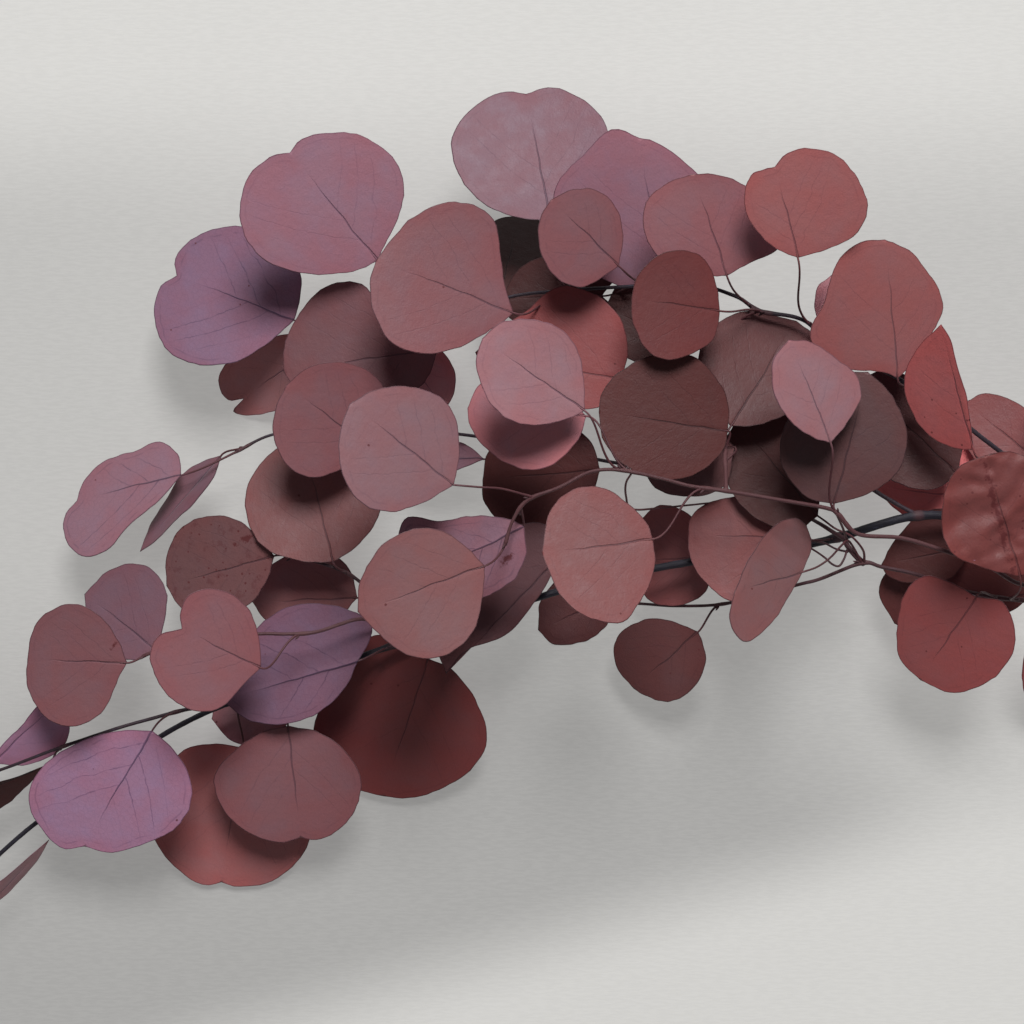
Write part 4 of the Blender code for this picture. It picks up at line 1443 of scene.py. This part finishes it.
def stalk_line(blade, line, steps):
    """The leaf stalk's line: out of the stem, round to the blade's base and a little way up its midrib."""
    base = blade.spot(0.0, 0.0, 1.0)[0]
    along = blade.place.to_3x3().col[0]
    sunk = [
        blade.spot(STALK_SINK * step / SUNK_STEPS, 0.0, 1.0)[0] for step in range(1, SUNK_STEPS + 1)
    ]
    nearest = nearest_distance(line, base)
    if blade.one.stalk:
        passes = [from_photo(place) for place in blade.one.stalk]
        distance = nearest_distance(line, passes[0])
        passes[0] = point_along(line, distance)
        free = evenly_along(smooth_line([*passes, base], lambda span: SMOOTH_STEPS), steps)
        return free + sunk, distance
    found = []
    for back in STALK_SETBACKS:
        distance = max(nearest - back, 2 * STALK_SETBACK)
        root = point_along(line, distance)
        forward = (point_along(line, distance + STALK_SETBACK) - root).normalized()
        reach = (base - root).length
        straight = (base - root).normalized()
        strain = 2 - straight.dot(along) - 0.5 * straight.dot(forward) + reach / STALK_REACH
        found.append((strain, distance, root, forward, reach))
    strain, distance, root, forward, reach = min(found, key=lambda choice: choice[0])
    leaving = root + forward * reach * 0.35
    arriving = base - along * reach * 0.3
    free = [Vector(point) for point in interpolate_bezier(root, leaving, arriving, base, steps)]
    return free + sunk, distance


def swelling_at(distance, nodes):
    """How much thicker the stem is at this distance, near its leaf nodes."""
    return 1 + max((math.exp(-(((distance - node) / NODE_REACH) ** 2)) for node in nodes), default=0.0)


def add_stem(shell, twig, line, nodes, settings):
    """Adds a twig's stem: its bark wrinkles, and it is thicker where stalks and side twigs leave it."""
    lengths = lengths_along(line)
    swells = [swelling_at(length, nodes) for length in lengths]
    slimming = settings.slimness if twig.parent else 1.0
    radii = [
        radius * slimming * (1 + settings.swelling * (swell - 1))
        for radius, swell in zip(tapered(lengths, twig.root_radius, twig.tip_radius), swells)
    ]
    if twig.parent:
        collar = len([length for length in lengths if length < COLLAR_LENGTH])
        for section in range(collar):
            radii[section] *= 1 + 0.4 * (1 - lengths[section] / COLLAR_LENGTH)

    def readings(section, across, above, core):
        return {
            "bark_place": (lengths[section] / MM, across / MM, above / MM),
            "bark_growth": (twig.age, swells[section] - 1, core),
        }

    add_tube(shell, line, radii, settings.sides, readings, settings.ridge, blunt_start=not twig.parent)


def add_spur(shell, twig, spur, settings):
    """Adds one thin bare shoot of the twig, which winds among the stalks."""
    line = smooth_line([from_photo(place) for place in spur.route], lambda span: SMOOTH_STEPS)
    lengths = lengths_along(line)
    radii = tapered(lengths, spur.root_radius, spur.tip_radius)

    def readings(section, across, above, core):
        return {
            "bark_place": (lengths[section] / MM, across / MM, above / MM),
            "bark_growth": (twig.age, 0.0, core),
        }

    add_tube(shell, line, radii, settings.stalk_sides, readings, settings.ridge)


def add_bud(shell, root, direction, radius, settings):
    """Adds the small bud that sits between a leaf stalk and the stem."""
    line = [root + direction * radius * share for share in (0.4, 1.0, 1.5, 2.0, 2.4)]
    radii = [radius * share for share in (0.34, 0.42, 0.4, 0.28, 0.1)]

    def readings(section, across, above, core):
        return {
            "bark_place": ((root.x + root.y) / MM + section, across / MM, above / MM),
            "bark_growth": (0.5, 0.6, 1.0),
        }

    add_tube(shell, line, radii, settings.stalk_sides, readings)


def add_stalk(shell, blade, line, settings):
    """Adds one leaf stalk, wider where it leaves the stem and thinning out along the midrib."""
    path, root = stalk_line(blade, line, settings.stalk_steps)
    lengths = lengths_along(path)
    free = lengths[-1 - SUNK_STEPS]
    radii = []
    for length in lengths:
        if length <= free:
            share = length / free
            radii.append(settings.stalk_radius * (1 + 0.6 * math.exp(-length / (1.5 * MM)) - 0.18 * share))
        else:
            share = (length - free) / (lengths[-1] - free)
            radii.append(settings.stalk_radius * (0.82 - 0.62 * share))
    # The stalk turns to its leaf's colour, which carries the leaf's painted light and shade.
    colour = tint(blade.settings, blade.one, blade.character, blade.one.shows_underside)

    def readings(section, across, above, core):
        return {
            "stalk_place": (lengths[section] / MM, across / MM, above / MM),
            "stalk_growth": (lengths[section] / lengths[-1], blade.character["markings"], 0.0),
            "leaf_tint": colour,
        }

    add_tube(shell, path, radii, settings.stalk_sides, readings, 0.04)


def bark_finish(settings):
    """Bark: dark and bluish where it is old and thick, redder on thin young stems, pale on the cut."""
    finish = Finish("eucalyptus_bark")
    along, across, above = finish.reading("bark_place").parts()
    old, node, core = finish.reading("bark_growth").parts()
    streaks = finish.solid_clouds(along * 0.12, across * 1.6, above * 1.6, 1.0, 4.0)
    bands = finish.solid_clouds(along * 0.9, across * 0.4, above * 0.4, 0.6, 2.0, 0.5)
    grain = finish.solid_clouds(along, across * 3.0, above * 3.0, 2.2)
    bark = old.mixes(settings.twig_colour, settings.bark_colour)
    bloom = streaks.rises(0.48, 0.72) * bands.rises(0.35, 0.65) * old
    colour = (bloom * 0.6).mixes(bark, settings.bloom_colour)
    colour = (node.rises(0.2, 0.9) * 0.5).mixes(colour, settings.twig_colour)
    colour = (grain.rises(0.5, 0.75) * 0.35).casts(colour, GRAIN_CAST)
    rings = (core * 28.0).sine() * 0.12
    darker = grain * 0.5 + rings + core.rises(0.82, 0.9) * 0.6
    wood = darker.mixes(settings.wood_colour, settings.twig_colour)
    cut = core.falls(0.93, 0.97)
    colour = cut.mixes(colour, wood)
    roughness = 0.5 + 0.25 * bloom + 0.1 * grain + 0.15 * cut
    height = 0.22 * streaks + 0.12 * grain + 0.1 * bands
    return finish.surface(colour, roughness, height, MM, {"Specular IOR Level": 0.4})


def stalk_finish(settings):
    """Leaf stalk: red-brown at the stem, turning to the leaf's own colour at the blade."""
    finish = Finish("leaf_stalk")
    along, across, above = finish.reading("stalk_place").parts()
    share, markings = finish.reading("stalk_growth").parts()[:2]
    tint = finish.reading("leaf_tint", "Color")
    streaks = finish.solid_clouds(along * 0.15 + markings, across * 2.0, above * 2.0)
    colour = (share.rises(0.62, 0.98) * 0.75).mixes(settings.stalk_colour, tint)
    colour = (streaks.rises(0.3, 0.7) * 0.6).casts(colour, STREAK_CAST)
    return finish.surface(colour, 0.45 + 0.2 * streaks, 0.12 * streaks, MM, {"Specular IOR Level": 0.4})


def table_finish(settings):
    """The pale table: a pressed grain of short level strokes, painted shade and a painted glow."""
    finish = Finish("pale_table")
    x, y, z = finish.add("ShaderNodeNewGeometry", {}, {}, "Position").parts()
    strokes = finish.clouds(finish.vector(x * 170, y * 900, 0.0), 1.0, 2.0, 0.6)
    clouds = finish.clouds(finish.vector(x * 6, y * 9, 0.0), 1.0, 2.0)
    # Painted shade: the table is darker below its top strip, and darker still in broad soft patches under
    # and below the branch, where its shadow falls.
    lower = 0.4 * y.falls(-0.13, 0.0) - 0.45 * x.rises(0.05, 0.14) * y.falls(-0.02, 0.06)
    painted_shadow = (0.5 * y.falls(0.13, 0.21) + lower) * (y - 0.3 * x).rises(-0.176, -0.126)
    shade = painted_shadow * 0.75 + strokes.rises(0.35, 0.65) * 0.05 + clouds * 0.08
    colour = shade.casts(settings.floor_colour, PAINTED_SHADE_CAST)
    glow = shade.casts(settings.floor_painted_glow, PAINTED_SHADE_GLOW_CAST)
    # Painted light: the table glows, though it is no lamp, so that the branch's real shadows on it stay
    # light; the same painted shade dims the glow.
    fixed = {"Specular IOR Level": 0.3, "Emission Color": glow, "Emission Strength": 1.0}
    return finish.surface(colour, 0.62 + 0.1 * strokes, strokes * 0.08, MM, fixed)


def grown_lines(step):
    """Every twig's stem line by the twig's name, and the distances along each of what leaves it."""
    lines = {}
    nodes = {twig.name: [] for twig in TWIGS}
    for twig in TWIGS:
        lines[twig.name] = stem_line(twig, lines, step)
        if twig.parent:
            nodes[twig.parent].append(nearest_distance(lines[twig.parent], lines[twig.name][0]))
    return lines, nodes


class EUCALYPTUS_OT_blades(Operator):
    """Makes the leaf blades of every twig"""

    bl_idname = "eucalyptus.blades"
    bl_label = "Leaf Blades"

    def execute(self, context):
        settings = context.scene.eucalyptus_leaves
        material = leaf_finish(settings)
        for twig in TWIGS:
            shell = Shell(twig.name + "_blades")
            for index in range(len(twig.leaves)):
                add_blade(shell, twig, index, settings)
            shell.made(material, twig.name, "leaf")
        return {"FINISHED"}


class EUCALYPTUS_OT_stalks(Operator):
    """Makes the leaf stalks of every twig"""

    bl_idname = "eucalyptus.stalks"
    bl_label = "Leaf Stalks"

    def execute(self, context):
        settings = context.scene.eucalyptus_stems
        leaves = context.scene.eucalyptus_leaves
        material = stalk_finish(settings)
        lines = grown_lines(settings.step)[0]
        for twig in TWIGS:
            shell = Shell(twig.name + "_stalks")
            for index, one in enumerate(twig.leaves):
                blade = Blade(one, leaf_character(twig, index), leaves)
                add_stalk(shell, blade, lines[twig.name], settings)
            shell.made(material, twig.name, "leaf")
        return {"FINISHED"}


class EUCALYPTUS_OT_stems(Operator):
    """Makes the stem of every twig, with a bud at each leaf"""

    bl_idname = "eucalyptus.stems"
    bl_label = "Stems"

    def execute(self, context):
        settings = context.scene.eucalyptus_stems
        leaves = context.scene.eucalyptus_leaves
        material = bark_finish(settings)
        lines, nodes = grown_lines(settings.step)
        for twig in TWIGS:
            shell = Shell(twig.name + "_bark")
            line = lines[twig.name]
            for index, one in enumerate(twig.leaves):
                blade = Blade(one, leaf_character(twig, index), leaves)
                path, distance = stalk_line(blade, line, settings.stalk_steps)
                nodes[twig.name].append(distance)
                add_bud(shell, *bud_place(line, path, distance), settings)
            add_stem(shell, twig, line, nodes[twig.name], settings)
            for spur in twig.spurs:
                add_spur(shell, twig, spur, settings)
            shell.made(material, twig.name, "bark")
        return {"FINISHED"}


class EUCALYPTUS_OT_stage(Operator):
    """Makes the table, the lights and the camera that looks down on the branch"""

    bl_idname = "eucalyptus.stage"
    bl_label = "Table, Lights and Camera"

    def execute(self, context):
        settings = context.scene.eucalyptus_stage
        half = settings.floor_side / 2
        corners = [(-half, -half, 0), (half, -half, 0), (half, half, 0), (-half, half, 0)]
        mesh = bpy.data.meshes.new("table")
        mesh.from_pydata(corners, [], [(0, 1, 2, 3)])
        mesh.materials.append(table_finish(settings))
        table = bpy.data.objects.new("table", mesh)
        context.scene.collection.objects.link(table)
        add_light(context, "window_light", settings.key_place, settings.key_power, settings.key_side)
        add_light(context, "fill_light", settings.fill_place, settings.fill_power, FILL_SIDE)
        world = bpy.data.worlds.new("room")
        world.use_nodes = True
        background = world.node_tree.nodes["Background"]
        background.inputs["Color"].default_value = ROOM_COLOUR
        background.inputs["Strength"].default_value = settings.sky_strength
        context.scene.world = world
        add_camera(context)
        context.scene.view_settings.view_transform = "Standard"
        return {"FINISHED"}


def bud_place(line, path, distance):
    """Where a bud sits and which way it points: on the stem's skin, under the start of the stalk."""
    root = point_along(line, distance)
    forward = (point_along(line, distance + STALK_SETBACK) - root).normalized()
    away = path[3] - root
    away = (away - forward * away.dot(forward)).normalized()
    place = root + forward * BUD_AHEAD + away * BUD_ASIDE
    return place, (away + forward * 0.9).normalized(), BUD_RADIUS


def add_light(context, name, place, power, side):
    """A square soft light that faces the middle of the branch."""
    lamp = bpy.data.lights.new(name, "AREA")
    lamp.energy = power
    lamp.size = side
    light = bpy.data.objects.new(name, lamp)
    light.location = place
    light.rotation_euler = Vector(place).to_track_quat("Z", "Y").to_euler()
    context.scene.collection.objects.link(light)


def add_camera(context):
    """The photograph's camera: straight above, with the photograph's place and angle of view."""
    lens = bpy.data.cameras.new("camera")
    lens.sensor_width = 36.0
    seen = PHOTO_SIDE * MM_PER_PIXEL
    lens.lens = lens.sensor_width * (CAMERA_HEIGHT - SCALE_HEIGHT) / seen
    lens.clip_start = 0.01
    camera = bpy.data.objects.new("camera", lens)
    across = (PHOTO_MIDDLE - ORIGIN_COLUMN) * MM_PER_PIXEL
    up = (ORIGIN_ROW - PHOTO_MIDDLE) * MM_PER_PIXEL
    camera.location = Vector((across, up, CAMERA_HEIGHT)) * MM
    context.scene.collection.objects.link(camera)
    context.scene.camera = camera


class EUCALYPTUS_PT_panel(Panel):
    """The branch's pieces and sizes"""

    bl_label = "Eucalyptus Branch"
    bl_idname = "EUCALYPTUS_PT_panel"
    bl_space_type = "VIEW_3D"
    bl_region_type = "UI"
    bl_category = "Eucalyptus"

    def draw(self, context):
        scene = context.scene
        for operator in OPERATORS:
            self.layout.operator(operator.bl_idname)
        for title, settings in (
            ("Leaves", scene.eucalyptus_leaves),
            ("Stems", scene.eucalyptus_stems),
            ("Stage", scene.eucalyptus_stage),
        ):
            box = self.layout.box()
            box.label(text=title)
            for name in settings.__annotations__:
                box.prop(settings, name)


OPERATORS = (EUCALYPTUS_OT_stage, EUCALYPTUS_OT_stems, EUCALYPTUS_OT_stalks, EUCALYPTUS_OT_blades)
CLASSES = (LeafSettings, StemSettings, StageSettings, *OPERATORS, EUCALYPTUS_PT_panel)


def register():
    for kind in CLASSES:
        bpy.utils.register_class(kind)
    bpy.types.Scene.eucalyptus_leaves = PointerProperty(type=LeafSettings)
    bpy.types.Scene.eucalyptus_stems = PointerProperty(type=StemSettings)
    bpy.types.Scene.eucalyptus_stage = PointerProperty(type=StageSettings)


def unregister():
    del bpy.types.Scene.eucalyptus_stage
    del bpy.types.Scene.eucalyptus_stems
    del bpy.types.Scene.eucalyptus_leaves
    for kind in reversed(CLASSES):
        bpy.utils.unregister_class(kind)


def main():
    register()
    bpy.ops.eucalyptus.stage()
    bpy.ops.eucalyptus.stems()
    bpy.ops.eucalyptus.stalks()
    bpy.ops.eucalyptus.blades()


if __name__ == "__main__":
    main()
